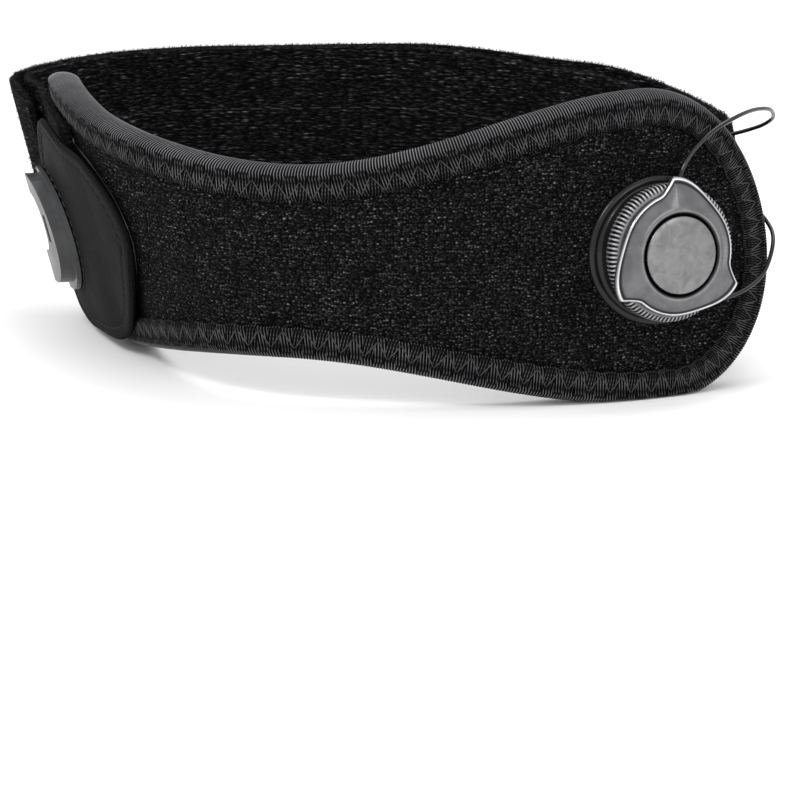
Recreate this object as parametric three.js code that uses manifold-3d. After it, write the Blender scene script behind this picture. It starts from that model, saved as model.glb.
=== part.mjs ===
// Patella strap: a shaped knee pad with a lace dial, a lace guide on a patch and a two-layer back strap.
// Millimetres. +Z is up, the pad's front faces -Y, the dial is on the +X lobe, the strap passes behind.
import * as THREE from 'three';
import { mergeVertices } from 'three/addons/utils/BufferGeometryUtils.js';
import Module from 'manifold-3d';

const wasm = await Module();
wasm.setup();

// Clearance between neighbouring pieces
const gap = 0.3;

// Pad, laid flat: half its length, how far in from its ends the lobes are tallest, and its heights
const padHalf = 116;
const lobeTopIn = 33;
const lobeBottomIn = 28;
const neckTop = 23;
const neckBottom = 21;
const lobeTopLeft = 33.5;
const lobeTopRight = 38;
const lobeBottom = 33.5;
const lobeRoundLeft = 2.2;
const lobeRoundRight = 2.05;
const lobeRoundLow = 1.9;
const restFlat = 1.8;

// Pad, bent round the shin: each end's turn and lean in degrees, and how they are spread
const padFront = -46;
const turnLeft = 71;
const turnRight = 50;
const bendLeft = 2.1;
const evenRight = 1.17;
const leanLeft = -14;
const leanRight = 8;
const leanSpread = 0.5;
const leanBend = 1.5;

// Pad layers and the tape round their edge
const faceWall = 1.6;
const liningWall = 2.8;
const tapeWall = 1.05;
const tapeFront = 7.4;
const tapeBack = 6.4;
const tapeRoll = 2.4;
const tapeRoom = 0.35;
const tapeClear = 0.5;

// Back strap: two layers with the lace channel between them
const strapWall = 1.6;
const strapChannel = 2.2;
const strapTall = 34.5;
const strapLow = -16.5;
const strapLift = 12;
const strapCorner = 7;
const strapRoom = 0.6;
const strapStartIn = 46;
const strapLeaveIn = 50;
const strapBulge = 3;
const strapBulgeBend = 1.6;
const strapTuck = 13;
const outerStartIn = 11;
const outerShort = 27;
const outerFlare = 1.6;
const outerRaise = 1.6;
const outerCorner = 13;
const leanFade = 55;
const loopReach = 91;
const loopDepth = 120.5;

// Back strap's plan, as shares of the loop's reach and depth
const strapTurns = [
  { across: -0.89, back: 0.63 },
  { across: -0.845, back: 0.77 },
  { across: -0.75, back: 0.865 },
  { across: -0.56, back: 0.945 },
  { across: -0.3, back: 0.985 },
  { across: -0.02, back: 1 },
  { across: 0.28, back: 0.975 },
  { across: 0.545, back: 0.915 },
  { across: 0.78, back: 0.815 },
  { across: 0.885, back: 0.735 },
  { across: 0.96, back: 0.63 },
];

// Back strap's rise along its length, as shares of its length and of its lift
const strapRises = [
  { along: 0, lift: 0.42 },
  { along: 0.05, lift: 0.46 },
  { along: 0.14, lift: 0.8 },
  { along: 0.35, lift: 0.9 },
  { along: 0.52, lift: 1 },
  { along: 0.68, lift: 0.75 },
  { along: 0.85, lift: 0.2 },
  { along: 1, lift: 0 },
];

// Patch on the left lobe and the hook tape under it
const patchLength = 58;
const patchTall = 55;
const patchIn = 45;
const patchUp = -3.5;
const patchWall = 1.7;
const patchRise = 14;
const patchFlare = 3;
const patchRoom = 0.9;
const hookWall = 0.9;
const hookInset = 1.2;

// Patch outline from its front end over the top to its rear end and back, as shares of its two sizes
const patchOutline = [
  { along: 0.5, up: 0.06 },
  { along: 0.465, up: 0.17 },
  { along: 0.38, up: 0.29 },
  { along: 0.225, up: 0.39 },
  { along: 0.05, up: 0.435 },
  { along: -0.12, up: 0.5 },
  { along: -0.225, up: 0.43 },
  { along: -0.36, up: 0.21 },
  { along: -0.465, up: -0.08 },
  { along: -0.5, up: -0.335 },
  { along: -0.43, up: -0.445 },
  { along: -0.29, up: -0.5 },
  { along: -0.085, up: -0.5 },
  { along: 0.155, up: -0.465 },
  { along: 0.31, up: -0.37 },
  { along: 0.42, up: -0.21 },
  { along: 0.475, up: -0.065 },
];
const patchRear = 8;

// Lace guide: a half-moon with a channel for the lace, on a thin flange sewn to the patch
const guideIn = 24;
const guideUp = -6.8;
const guideTall = 28;
const guideDepth = 14;
const guideWall = 3.2;
const guideSkin = 1;
const hollowDepth = 7;
const hollowTall = 15;
const hollowUp = 1.5;
const flangeWall = 1.1;
const flangeRim = 1.8;
const windowTall = 7;
const windowDepth = 2.2;
const windowIn = 3.5;
const windowUp = 1.8;
const laceThick = 1.0;
const channelThick = 2.2;

// Dial
const dialIn = 31;
const dialUp = 2;
const dialFlange = 17;
const dialFlangeWall = 1.5;
const housingRadius = 15;
const housingTall = 4;
const knobRadius = 15.8;
const knobTall = 3.6;
const knobTeeth = 48;
const knobToothDeep = 0.55;
const capRadius = 14;
const capReach = 3.6;
const capTall = 3;
const capSide = 1.1;
const discRadius = 8.8;
const discGroove = 0.5;
const discSunk = 0.8;
const discProud = 0.15;
const capStart = 92;

// Lace routes. Upper: from the dial over the right lobe into the strap's channel
const laceUpper = [
  { x: 84.3, y: -19.1, z: 49.2 },
  { x: 85.2, y: -18.1, z: 52.3 },
  { x: 87.2, y: -15.6, z: 56.0 },
  { x: 91.0, y: -11.0, z: 59.8 },
  { x: 95.2, y: -5.0, z: 62.0 },
  { x: 98.6, y: 4.0, z: 62.3 },
  { x: 101.0, y: 12.0, z: 60.9 },
  { x: 101.0, y: 18.5, z: 57.9 },
  { x: 98.3, y: 24.0, z: 55.1 },
  { x: 94.2, y: 29.0, z: 52.7 },
  { x: 88.4, y: 34.0, z: 50.1 },
  { x: 85.3, y: 38.0, z: 48.5 },
  { x: 81.2, y: 45.0, z: 47.7 },
];

// Lower: from the dial round the right lobe's end into the strap's channel
const laceLower = [
  { x: 91.4, y: -16.4, z: 22.8 },
  { x: 93.6, y: -15.3, z: 21.8 },
  { x: 96.4, y: -13.2, z: 22.2 },
  { x: 99.7, y: -9.2, z: 23.4 },
  { x: 102.4, y: -5.0, z: 25.7 },
  { x: 103.8, y: -1.1, z: 29.9 },
  { x: 103.5, y: 3.4, z: 33.3 },
  { x: 101.0, y: 8.6, z: 35.7 },
  { x: 97.8, y: 15.0, z: 36.5 },
  { x: 94.9, y: 22.0, z: 36.6 },
  { x: 91.4, y: 29.2, z: 36.3 },
  { x: 86.4, y: 38.2, z: 35.9 },
  { x: 82.0, y: 45.3, z: 35.7 },
];

// Left: out of the strap's channel, round through the guide and back
const laceLeft = [
  { x: -84.3, y: 35.6, z: 39.5 },
  { x: -84.7, y: 30.7, z: 39.0 },
  { x: -82.2, y: 25.1, z: 38.2 },
  { x: -78.8, y: 22.3, z: 36.9 },
  { x: -76.7, y: 20.5, z: 35.7 },
  { x: -77.1, y: 18.3, z: 35.5 },
  { x: -78.5, y: 14.0, z: 35.9 },
  { x: -79.8, y: 9.3, z: 36.6 },
  { x: -77.0, y: 4.6, z: 36.3 },
  { x: -74.1, y: 0.9, z: 34.0 },
  { x: -71.4, y: -1.3, z: 30.0 },
  { x: -69.7, y: -1.8, z: 25.0 },
  { x: -69.2, y: -0.3, z: 20.0 },
  { x: -69.9, y: 2.7, z: 16.0 },
  { x: -71.8, y: 6.7, z: 13.8 },
  { x: -74.4, y: 11.4, z: 13.5 },
  { x: -75.8, y: 15.0, z: 14.5 },
  { x: -76.3, y: 18.6, z: 17.1 },
  { x: -73.8, y: 20.1, z: 22.9 },
  { x: -75.8, y: 22.8, z: 26.8 },
  { x: -78.3, y: 24.3, z: 29.3 },
  { x: -80.8, y: 26.4, z: 30.3 },
  { x: -82.8, y: 30.8, z: 30.6 },
  { x: -82.6, y: 35.3, z: 30.6 },
];

const rad = THREE.MathUtils.degToRad;
const clamp = THREE.MathUtils.clamp;
const smooth = THREE.MathUtils.smoothstep;

const padOut = (faceWall + gap + liningWall) / 2;
const tapeOut = padOut + tapeClear + tapeWall;
const layerInset = tapeWall + tapeRoom + tapeClear;
const middle = lobeBottom * Math.cos(rad(leanRight) / 2) - restFlat;

// Places along the pad, from the distances in from its ends
const lobeTopAt = padHalf - lobeTopIn;
const lobeBottomAt = padHalf - lobeBottomIn;
const strapStart = padHalf - strapStartIn;
const strapLeave = padHalf - strapLeaveIn;
const outerStart = padHalf - outerStartIn;
const patchAt = patchIn - padHalf;
const guideAt = guideIn - padHalf;
const dialAt = padHalf - dialIn;

// How far the pad's plan has turned at a distance from the neck, in radians
function padTurn(s) {
  const u = Math.abs(s) / padHalf;
  if (s < 0) return -rad(turnLeft) * (1 - Math.max(0, 1 - u) ** bendLeft);
  return rad(turnRight) * (evenRight * u + (1 - evenRight) * u * u);
}

function padLean(s) {
  const u = Math.abs(s) / padHalf;
  return s < 0 ? rad(leanLeft) * smooth(u, 0, leanSpread) : rad(leanRight) * u ** leanBend;
}

// The pad's rail: place, direction and lean of its middle surface at a distance from the neck
function padRail(s) {
  const steps = 32;
  let x = 0;
  let y = padFront;
  for (let i = 0; i < steps; i += 1) {
    const angle = padTurn((s * (i + 0.5)) / steps);
    x += (Math.cos(angle) * s) / steps;
    y += (Math.sin(angle) * s) / steps;
  }
  return { x, y, angle: padTurn(s), lean: padLean(s) };
}

// A point at a distance along a rail, a height on its leaning surface and an offset outwards
function place(rail, s, h, n) {
  const { x, y, angle, lean } = rail(s);
  const out = n - h * Math.sin(lean);
  const height = middle + h * Math.cos(lean);
  return new THREE.Vector3(x + Math.sin(angle) * out, y - Math.cos(angle) * out, height);
}

// Height of the pad's top or bottom edge above its middle line
function edgeHeight(s, isTop) {
  const a = Math.min(Math.abs(s), padHalf);
  const lobe = isTop ? (s < 0 ? lobeTopLeft : lobeTopRight) : -lobeBottom;
  const neck = isTop ? neckTop : -neckBottom;
  const peak = isTop ? lobeTopAt : lobeBottomAt;
  if (a < peak) return neck + (lobe - neck) * (0.5 - 0.5 * Math.cos((Math.PI * a) / peak));
  const e = (a - peak) / (padHalf - peak);
  const right = isTop ? lobeRoundRight : lobeRoundLow;
  return lobe * Math.sqrt(1 - e ** (s < 0 ? lobeRoundLeft : right));
}

// Evenly spaced points of one edge, from the left end to the right end
function edgePoints(isTop, count) {
  const dense = [];
  for (let i = 0; i <= 400; i += 1) {
    const v = i / 200 - 1;
    const s = Math.sign(v) * padHalf * (1 - (1 - Math.abs(v)) ** 2);
    dense.push(new THREE.Vector2(s, edgeHeight(s, isTop)));
  }
  const lengths = [0];
  for (let i = 1; i < dense.length; i += 1) {
    lengths.push(lengths[i - 1] + dense[i].distanceTo(dense[i - 1]));
  }
  const points = [];
  for (let k = 0; k <= count; k += 1) {
    const want = (lengths.at(-1) * k) / count;
    let i = 1;
    while (i < dense.length - 1 && lengths[i] < want) i += 1;
    const share = (want - lengths[i - 1]) / (lengths[i] - lengths[i - 1]);
    points.push(dense[i - 1].clone().lerp(dense[i], share));
  }
  return points;
}

const edgeCount = 48;
const topEdge = edgePoints(true, edgeCount);
const bottomEdge = edgePoints(false, edgeCount);
const outline = [...bottomEdge, ...topEdge.slice(1, -1).reverse()];

// The outline moved inwards on the flat pad, by a distance
function inset(distance) {
  return outline.map((p, i) => {
    const before = outline.at(i - 1);
    const after = outline[(i + 1) % outline.length];
    const along = after.clone().sub(before).normalize();
    return new THREE.Vector2(p.x - along.y * distance, p.y + along.x * distance);
  });
}

// A geometry from triangles, turned to face out
function geometryOf(triangles) {
  const kept = triangles.filter(([a, b, c]) => {
    return a.distanceTo(b) > 1e-4 && b.distanceTo(c) > 1e-4 && c.distanceTo(a) > 1e-4;
  });
  const volume = kept.reduce((sum, [a, b, c]) => sum + a.dot(b.clone().cross(c)), 0);
  const points = kept.flatMap(([a, b, c]) => (volume < 0 ? [a, c, b] : [a, b, c]));
  return new THREE.BufferGeometry().setFromPoints(points);
}

function quad(list, a, b, c, d) {
  list.push([a, b, c], [a, c, d]);
}

// A closed sheet between a lower and an upper line of a rail's surface
function sheet(rail, lower, upper, rows, inner, outer) {
  const grid = (offset) => lower.map((low, i) => {
    const line = [];
    for (let j = 0; j <= rows; j += 1) {
      const p = low.clone().lerp(upper[i], j / rows);
      line.push(place(rail, p.x, p.y, offset(p.x, p.y)));
    }
    return line;
  });
  const back = grid(inner);
  const front = grid(outer);
  const list = [];
  const last = lower.length - 1;
  for (let i = 0; i < last; i += 1) {
    for (let j = 0; j < rows; j += 1) {
      quad(list, front[i][j], front[i + 1][j], front[i + 1][j + 1], front[i][j + 1]);
      quad(list, back[i][j + 1], back[i + 1][j + 1], back[i + 1][j], back[i][j]);
    }
    quad(list, back[i][0], back[i + 1][0], front[i + 1][0], front[i][0]);
    quad(list, front[i][rows], front[i + 1][rows], back[i + 1][rows], back[i][rows]);
  }
  for (let j = 0; j < rows; j += 1) {
    quad(list, back[0][j], front[0][j], front[0][j + 1], back[0][j + 1]);
    quad(list, back[last][j + 1], front[last][j + 1], front[last][j], back[last][j]);
  }
  return geometryOf(list);
}

// A solid through rings of as many points each, closed in a circle or capped at both ends
function loft(rings, isRound) {
  const list = [];
  const count = rings[0].length;
  const spans = isRound ? rings.length : rings.length - 1;
  for (let k = 0; k < spans; k += 1) {
    const a = rings[k];
    const b = rings[(k + 1) % rings.length];
    for (let i = 0; i < count; i += 1) {
      const j = (i + 1) % count;
      quad(list, a[i], a[j], b[j], b[i]);
    }
  }
  if (!isRound) {
    for (const [ring, isLast] of [[rings[0], false], [rings.at(-1), true]]) {
      const centre = ring.reduce((sum, p) => sum.add(p), new THREE.Vector3()).divideScalar(count);
      ring.forEach((p, i) => {
        const next = ring[(i + 1) % count];
        list.push(isLast ? [centre, p, next] : [centre, next, p]);
      });
    }
  }
  return geometryOf(list);
}

function toSolid(geometry) {
  const bare = new THREE.BufferGeometry();
  bare.setAttribute('position', geometry.getAttribute('position'));
  const merged = mergeVertices(bare);
  const mesh = new wasm.Mesh({
    numProp: 3,
    vertProperties: merged.getAttribute('position').array,
    triVerts: new Uint32Array(merged.index.array),
  });
  return new wasm.Manifold(mesh);
}

function toGeometry(solid) {
  const mesh = solid.getMesh();
  const geometry = new THREE.BufferGeometry();
  geometry.setAttribute('position', new THREE.BufferAttribute(mesh.vertProperties, 3));
  geometry.setIndex(new THREE.BufferAttribute(mesh.triVerts, 1));
  return geometry.toNonIndexed();
}

const part = new THREE.Group();
part.name = 'patella_strap';

const materials = {
  loop_fabric: { color: 0x1b1b1c, roughness: 0.95, metalness: 0 },
  lining_knit: { color: 0x242425, roughness: 0.8, metalness: 0 },
  ribbed_tape: { color: 0x2a2a2b, roughness: 0.75, metalness: 0 },
  faux_leather: { color: 0x262627, roughness: 0.5, metalness: 0 },
  hook_tape: { color: 0x161616, roughness: 0.6, metalness: 0 },
  grey_plastic: { color: 0x6b6d6f, roughness: 0.45, metalness: 0 },
  dark_plastic: { color: 0x2e2f31, roughness: 0.35, metalness: 0.1 },
  satin_metal: { color: 0x57595c, roughness: 0.3, metalness: 0.8 },
  lace_cable: { color: 0x3a3b3d, roughness: 0.35, metalness: 0.4 },
};

function add(name, material, geometry) {
  geometry.computeVertexNormals();
  const mesh = new THREE.Mesh(geometry, new THREE.MeshStandardMaterial(materials[material]));
  mesh.name = name;
  part.add(mesh);
}

// Pad layers
const layerOutline = inset(layerInset);
const layerLower = layerOutline.slice(0, edgeCount + 1);
const layerUpper = [layerOutline[0], ...layerOutline.slice(edgeCount).reverse()];
const padLayer = (inner, outer) => sheet(padRail, layerLower, layerUpper, 3, () => inner, () => outer);
add('pad_face', 'loop_fabric', padLayer(padOut - faceWall, padOut));
add('pad_lining', 'lining_knit', padLayer(-padOut, liningWall - padOut));

// Tape folded over the pad's edge, flattened where it rests
const tapeSection = [
  [tapeFront, padOut + tapeClear],
  [tapeFront, tapeOut - tapeWall / 4],
  [tapeFront - tapeWall, tapeOut],
];
for (let i = 0; i <= 5; i += 1) {
  const angle = Math.PI / 2 - (Math.PI * i) / 5;
  tapeSection.push([tapeRoll * (1 - Math.cos(angle)), tapeOut * Math.sin(angle)]);
}
tapeSection.push(
  [tapeBack - tapeWall, -tapeOut],
  [tapeBack, tapeWall / 4 - tapeOut],
  [tapeBack, -padOut - tapeClear],
  [tapeWall + tapeRoom, -padOut - tapeClear],
  [tapeWall + tapeRoom, padOut + tapeClear],
);
const tapeLines = tapeSection.map(([distance]) => inset(distance));
const tapeRings = outline.map((_, i) => tapeSection.map(([, out], k) => {
  const point = place(padRail, tapeLines[k][i].x, tapeLines[k][i].y, out);
  point.z = Math.max(point.z, 0);
  return point;
}));
add('edge_binding', 'ribbed_tape', loft(tapeRings, true));

// Middle surface of the strap's inner layer where it leaves the pad's left lobe, as an offset from the pad
const strapSeat = padOut + strapRoom + strapWall / 2;
function strapOffset(s) {
  const share = Math.max(0, -s - strapLeave) / (outerStart - strapLeave);
  return strapSeat + strapBulge * share ** strapBulgeBend;
}

// The strap's plan line: off the left lobe, round the back and inside the right lobe
const strapKnots = [];
for (const share of [0, 0.25, 0.5, 0.75, 1]) {
  const s = -THREE.MathUtils.lerp(strapStart, outerStart, share);
  strapKnots.push(place(padRail, s, 0, strapOffset(s)).setZ(0));
}
for (const { across, back } of strapTurns) {
  strapKnots.push(new THREE.Vector3(across * loopReach, padFront + back * loopDepth, 0));
}
const strapInside = tapeOut + 2 * strapRoom + strapWall / 2;
for (const share of [0, 0.5, 1]) {
  strapKnots.push(place(padRail, padHalf - strapTuck * share, 0, -strapInside).setZ(0));
}
const strapLine = new THREE.CatmullRomCurve3(strapKnots, false, 'centripetal');
strapLine.arcLengthDivisions = 600;
const strapLength = strapLine.getLength();

// The strap's rail: its distances run from the left end, and it leans with the pad at both ends
function strapRail(d) {
  const u = clamp(d / strapLength, 0, 1);
  const p = strapLine.getPointAt(u);
  const t = strapLine.getTangentAt(u);
  const overlap = outerStart - strapStart;
  const left = padLean(-strapStart - clamp(d, 0, overlap)) * (1 - smooth(d, overlap, overlap + leanFade));
  const right = padLean(padHalf) * smooth(d, strapLength - leanFade - strapTuck, strapLength - strapTuck);
  return { x: p.x, y: p.y, angle: Math.atan2(-t.y, -t.x), lean: left + right };
}

function strapRise(d) {
  const u = clamp(d / strapLength, 0, 1);
  let i = 1;
  while (i < strapRises.length - 1 && strapRises[i].along < u) i += 1;
  const a = strapRises[i - 1];
  const b = strapRises[i];
  const share = smooth(u, a.along, b.along);
  return strapLow + strapLift * THREE.MathUtils.lerp(a.lift, b.lift, share);
}

// One strap layer between two distances, with rounded corners
function strapLayer(from, to, corner, steps, raise, inner, outer) {
  const stations = [];
  for (const share of [0, 0.05, 0.2, 0.4, 0.7]) stations.push(from + corner * share);
  for (let i = 0; i <= steps; i += 1) {
    stations.push(THREE.MathUtils.lerp(from + corner, to - strapCorner, i / steps));
  }
  for (const share of [0.6, 0.3, 0.1, 0]) stations.push(to - strapCorner * share);
  const fall = (near, radius) => radius - Math.sqrt(radius ** 2 - (radius - clamp(near, 0, radius)) ** 2);
  const cut = (d) => fall(d - from, corner) + fall(to - d, strapCorner);
  const lower = stations.map((d) => new THREE.Vector2(d, strapRise(d) + cut(d)));
  const upper = stations.map((d) => new THREE.Vector2(d, strapRise(d) + strapTall + raise(d) - cut(d)));
  return sheet(strapRail, lower, upper, 1, inner, outer);
}

const outerFrom = outerStart - strapStart;
const outerTo = strapLength - strapTuck - outerShort;
const flare = (d) => outerFlare * smooth(d, strapLength * 0.5, outerTo);
const raise = (d) => outerRaise * smooth(d, strapLength * 0.45, strapLength * 0.7);
const half = strapWall / 2;
add('strap_inner', 'loop_fabric', strapLayer(
  0,
  strapLength,
  strapCorner,
  46,
  () => 0,
  () => -half,
  () => half,
));
add('strap_outer', 'loop_fabric', strapLayer(
  outerFrom,
  outerTo,
  outerCorner,
  42,
  raise,
  (d) => half + strapChannel + flare(d),
  (d) => half + strapChannel + flare(d) + strapWall,
));

// Patch: its back face clears the tape at the front and the strap at the rear
function patchBack(s) {
  const overTape = tapeOut + gap;
  const slope = strapOffset(s - 0.5) - strapOffset(s + 0.5);
  const overStrap = Math.max(overTape, strapOffset(s) + half * Math.hypot(1, slope) + patchRoom);
  const share = smooth(-s, strapStart - patchRise, strapStart - 1);
  const flareOut = patchFlare * smooth(-s, strapStart - patchRise, patchLength / 2 - patchAt);
  return THREE.MathUtils.lerp(overTape, overStrap, share) + flareOut;
}

function closedLine(table, length, tall, at, up, inward) {
  const points = table.map((row) => new THREE.Vector3(
    at + row.along * (length - 2 * inward),
    up + row.up * (tall - 2 * inward),
    0,
  ));
  return new THREE.CatmullRomCurve3(points, true, 'centripetal');
}

function halves(line, turn, steps) {
  const upper = [];
  const lower = [];
  for (let i = 0; i <= steps; i += 1) {
    const a = line.getPoint(turn * (1 - i / steps));
    const b = line.getPoint(turn + (1 - turn) * (i / steps));
    upper.push(new THREE.Vector2(a.x, a.y));
    lower.push(new THREE.Vector2(b.x, b.y));
  }
  lower[steps] = upper[steps].clone();
  return { upper, lower };
}

const patchLine = closedLine(patchOutline, patchLength, patchTall, patchAt, patchUp, 0);
const patch = halves(patchLine, patchRear / patchOutline.length, 28);
const patchOuter = (s) => patchBack(s) + patchWall;
add('guide_patch', 'faux_leather', sheet(padRail, patch.lower, patch.upper, 4, patchBack, patchOuter));

// Hook tape under the patch's front, kept off the tape and the strap
const hookLine = closedLine(patchOutline, patchLength, patchTall, patchAt, patchUp, hookInset);
const hook = halves(hookLine, patchRear / patchOutline.length, 20);
const keepIn = (p) => {
  const s = Math.max(p.x, -strapStart + 2 * gap);
  const low = edgeHeight(s, false) + tapeFront + 2 * gap;
  const high = edgeHeight(s, true) - tapeFront - 2 * gap;
  return new THREE.Vector2(s, clamp(p.y, low, high));
};
const hookOut = padOut + gap + hookWall;
add('patch_backing', 'hook_tape', sheet(
  padRail,
  hook.lower.map(keepIn),
  hook.upper.map(keepIn),
  3,
  () => padOut + gap,
  () => hookOut,
));

// Lace guide
const patchFront = (s) => patchOuter(s) + gap;
function halfMoon(depth, tall, up, steps) {
  const lower = [];
  const upper = [];
  for (let i = 0; i <= steps; i += 1) {
    const e = Math.sin((Math.PI * i) / steps / 2);
    const s = guideAt + depth * e;
    const h = (tall / 2) * Math.sqrt(Math.max(0, 1 - e ** 2.4));
    lower.push(new THREE.Vector2(s, guideUp + up - h));
    upper.push(new THREE.Vector2(s, guideUp + up + h));
  }
  return { lower, upper };
}
const flangeTop = (s) => patchFront(s) + flangeWall;
const moonOut = (s) => flangeTop(s) + guideWall;
const moonSolid = (moon, inner, outer) => toSolid(sheet(padRail, moon.lower, moon.upper, 4, inner, outer));
const rim = halfMoon(guideDepth + flangeRim, guideTall + 2 * flangeRim, 0, 11);
const flange = moonSolid(rim, patchFront, flangeTop);
const body = moonSolid(halfMoon(guideDepth, guideTall, 0, 11), (s) => flangeTop(s) - flangeWall / 2, moonOut);

// Hollow in the guide's straight side, cut down to the flange
const hollowMoon = halfMoon(hollowDepth, hollowTall, hollowUp, 9);
for (const side of [hollowMoon.lower, hollowMoon.upper]) side.unshift(side[0].clone().setX(guideAt - guideSkin));
const hollow = moonSolid(hollowMoon, flangeTop, (s) => moonOut(s) + guideSkin);

// Channel through the guide, a half ellipse that both ends leave at the rear
const channelDeep = (guideDepth + hollowDepth) / 2;
const channelHalf = (guideTall - channelThick) / 2 - guideSkin;
const channelLevel = (s) => flangeTop(s) + guideWall / 2;
const channelPoints = [];
for (let i = -8; i <= 8; i += 1) {
  const angle = (Math.PI * Math.min(7, Math.abs(i)) * Math.sign(i)) / 14;
  const s = guideAt + channelDeep * Math.cos(angle) - (Math.abs(i) === 8 ? flangeRim + guideSkin : 0);
  channelPoints.push(place(padRail, s, guideUp + channelHalf * Math.sin(angle), channelLevel(s)));
}
function tube(points, thickness, sides, steps) {
  const path = new THREE.Path().absarc(0, 0, thickness / 2, 0, 2 * Math.PI);
  return new THREE.ExtrudeGeometry(new THREE.Shape(path.getPoints(sides / 2).slice(0, -1)), {
    steps,
    bevelEnabled: false,
    extrudePath: new THREE.CatmullRomCurve3(points, false, 'centripetal'),
  });
}
const channel = toSolid(tube(channelPoints, channelThick, 8, 40));
const windowFar = guideAt + guideDepth - windowIn;
const windowLower = [windowFar - windowDepth, windowFar].map((s) => {
  return new THREE.Vector2(s, guideUp + windowUp - windowTall / 2);
});
const windowUpper = windowLower.map((p) => new THREE.Vector2(p.x, p.y + windowTall));
const windowCut = toSolid(sheet(
  padRail,
  windowLower,
  windowUpper,
  1,
  (s) => channelLevel(s) - channelThick / 3,
  (s) => moonOut(s) + guideSkin,
));
const guide = flange.add(body).subtract(hollow).subtract(channel).subtract(windowCut);
add('lace_guide', 'grey_plastic', toGeometry(guide));

// Dial frame on the right lobe: rings that follow the pad's face, and flat rings square to the axis
const dial = padRail(dialAt);
const dialTangent = new THREE.Vector3(Math.cos(dial.angle), Math.sin(dial.angle), 0);
const dialAxis = new THREE.Vector3(
  Math.sin(dial.angle) * Math.cos(dial.lean),
  -Math.cos(dial.angle) * Math.cos(dial.lean),
  Math.sin(dial.lean),
);
const dialRise = dialAxis.clone().cross(dialTangent);
const dialFoot = place(padRail, dialAt, dialUp, padOut + gap);
const round = (count, fn) => Array.from({ length: count }, (_, i) => fn((2 * Math.PI * i) / count, i));
function flat(radius, rise) {
  return (angle, i) => {
    const r = typeof radius === 'function' ? radius(angle, i) : radius;
    return dialFoot.clone()
      .addScaledVector(dialTangent, r * Math.cos(angle))
      .addScaledVector(dialRise, r * Math.sin(angle))
      .addScaledVector(dialAxis, rise);
  };
}
function seated(radius, rise) {
  return (angle) => place(
    padRail,
    dialAt + radius * Math.cos(angle),
    dialUp + radius * Math.sin(angle),
    padOut + gap + rise,
  );
}

const baseSides = 48;
const baseRings = [
  seated(dialFlange * 0.3, 0),
  seated(dialFlange * 0.65, 0),
  seated(dialFlange, 0),
  seated(dialFlange, dialFlangeWall * 0.7),
  seated(dialFlange - dialFlangeWall * 0.3, dialFlangeWall),
  seated(housingRadius, dialFlangeWall),
  flat(housingRadius, housingTall - 0.5),
  flat(housingRadius - 0.5, housingTall),
];
add('dial_base', 'dark_plastic', loft(baseRings.map((ring) => round(baseSides, ring)), false));

// Knurled knob, a running gap above the housing
const knobFoot = housingTall + gap;
const toothed = (inward) => (angle, i) => knobRadius - inward - (i % 4 < 2 ? 0 : knobToothDeep);
const knobRings = [
  flat(knobRadius - knobToothDeep - 0.6, knobFoot),
  flat(toothed(0), knobFoot + 0.4),
  flat(toothed(0), knobFoot + knobTall - 1.3),
  flat(toothed(1.2), knobFoot + knobTall),
];
add('dial_knob', 'dark_plastic', loft(knobRings.map((ring) => round(4 * knobTeeth, ring)), false));

// Three-lobed cap with a sunk disc
const capFoot = knobFoot + knobTall + gap;
function lobes(angle) {
  const turn = (angle - rad(capStart)) / (2 * Math.PI / 3);
  const v = turn - Math.floor(turn);
  const flareOut = smooth(v, 0.45, 1) ** 2;
  const fall = Math.max(0, 1 - v / 0.14) ** 2;
  return Math.max(flareOut, fall);
}
const lobed = (share, reach) => (angle) => capRadius * share + capReach * reach * lobes(angle);
const discHole = discRadius + discGroove;
const capRings = [
  flat(lobed(0.94, 0.9), capFoot),
  flat(lobed(1, 1), capFoot + 0.3),
  flat(lobed(1, 1), capFoot + capSide),
  flat(lobed(0.95, 0.85), capFoot + capSide + 0.5),
  flat(discHole + 1.2, capFoot + capTall),
  flat(discHole + 0.2, capFoot + capTall),
  flat(discHole, capFoot + capTall - 0.3),
  flat(discHole, capFoot + capTall - discSunk),
];
add('dial_cap', 'satin_metal', loft(capRings.map((ring) => round(72, ring)), false));

const discFoot = capFoot + capTall - discSunk + gap;
const discTop = capFoot + capTall + discProud;
const discRings = [
  flat(discRadius, discFoot),
  flat(discRadius, discTop - 0.3),
  flat(discRadius - 0.4, discTop),
];
add('dial_disc', 'satin_metal', loft(discRings.map((ring) => round(48, ring)), false));

// Laces
const routes = { lace_upper: laceUpper, lace_lower: laceLower, lace_left: laceLeft };
for (const [name, route] of Object.entries(routes)) {
  const points = route.map(({ x, y, z }) => new THREE.Vector3(x, y, z));
  add(name, 'lace_cable', tube(points, laceThick, 8, Math.round(1.5 * route.length)));
}

// The origin goes to the middle of the underside of everything but the laces
const box = new THREE.Box3();
for (const mesh of part.children) {
  if (!(mesh.name in routes)) box.expandByObject(mesh);
}
const centre = box.getCenter(new THREE.Vector3());
for (const mesh of part.children) mesh.position.set(-centre.x, -centre.y, -box.min.z);

export default part;
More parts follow.
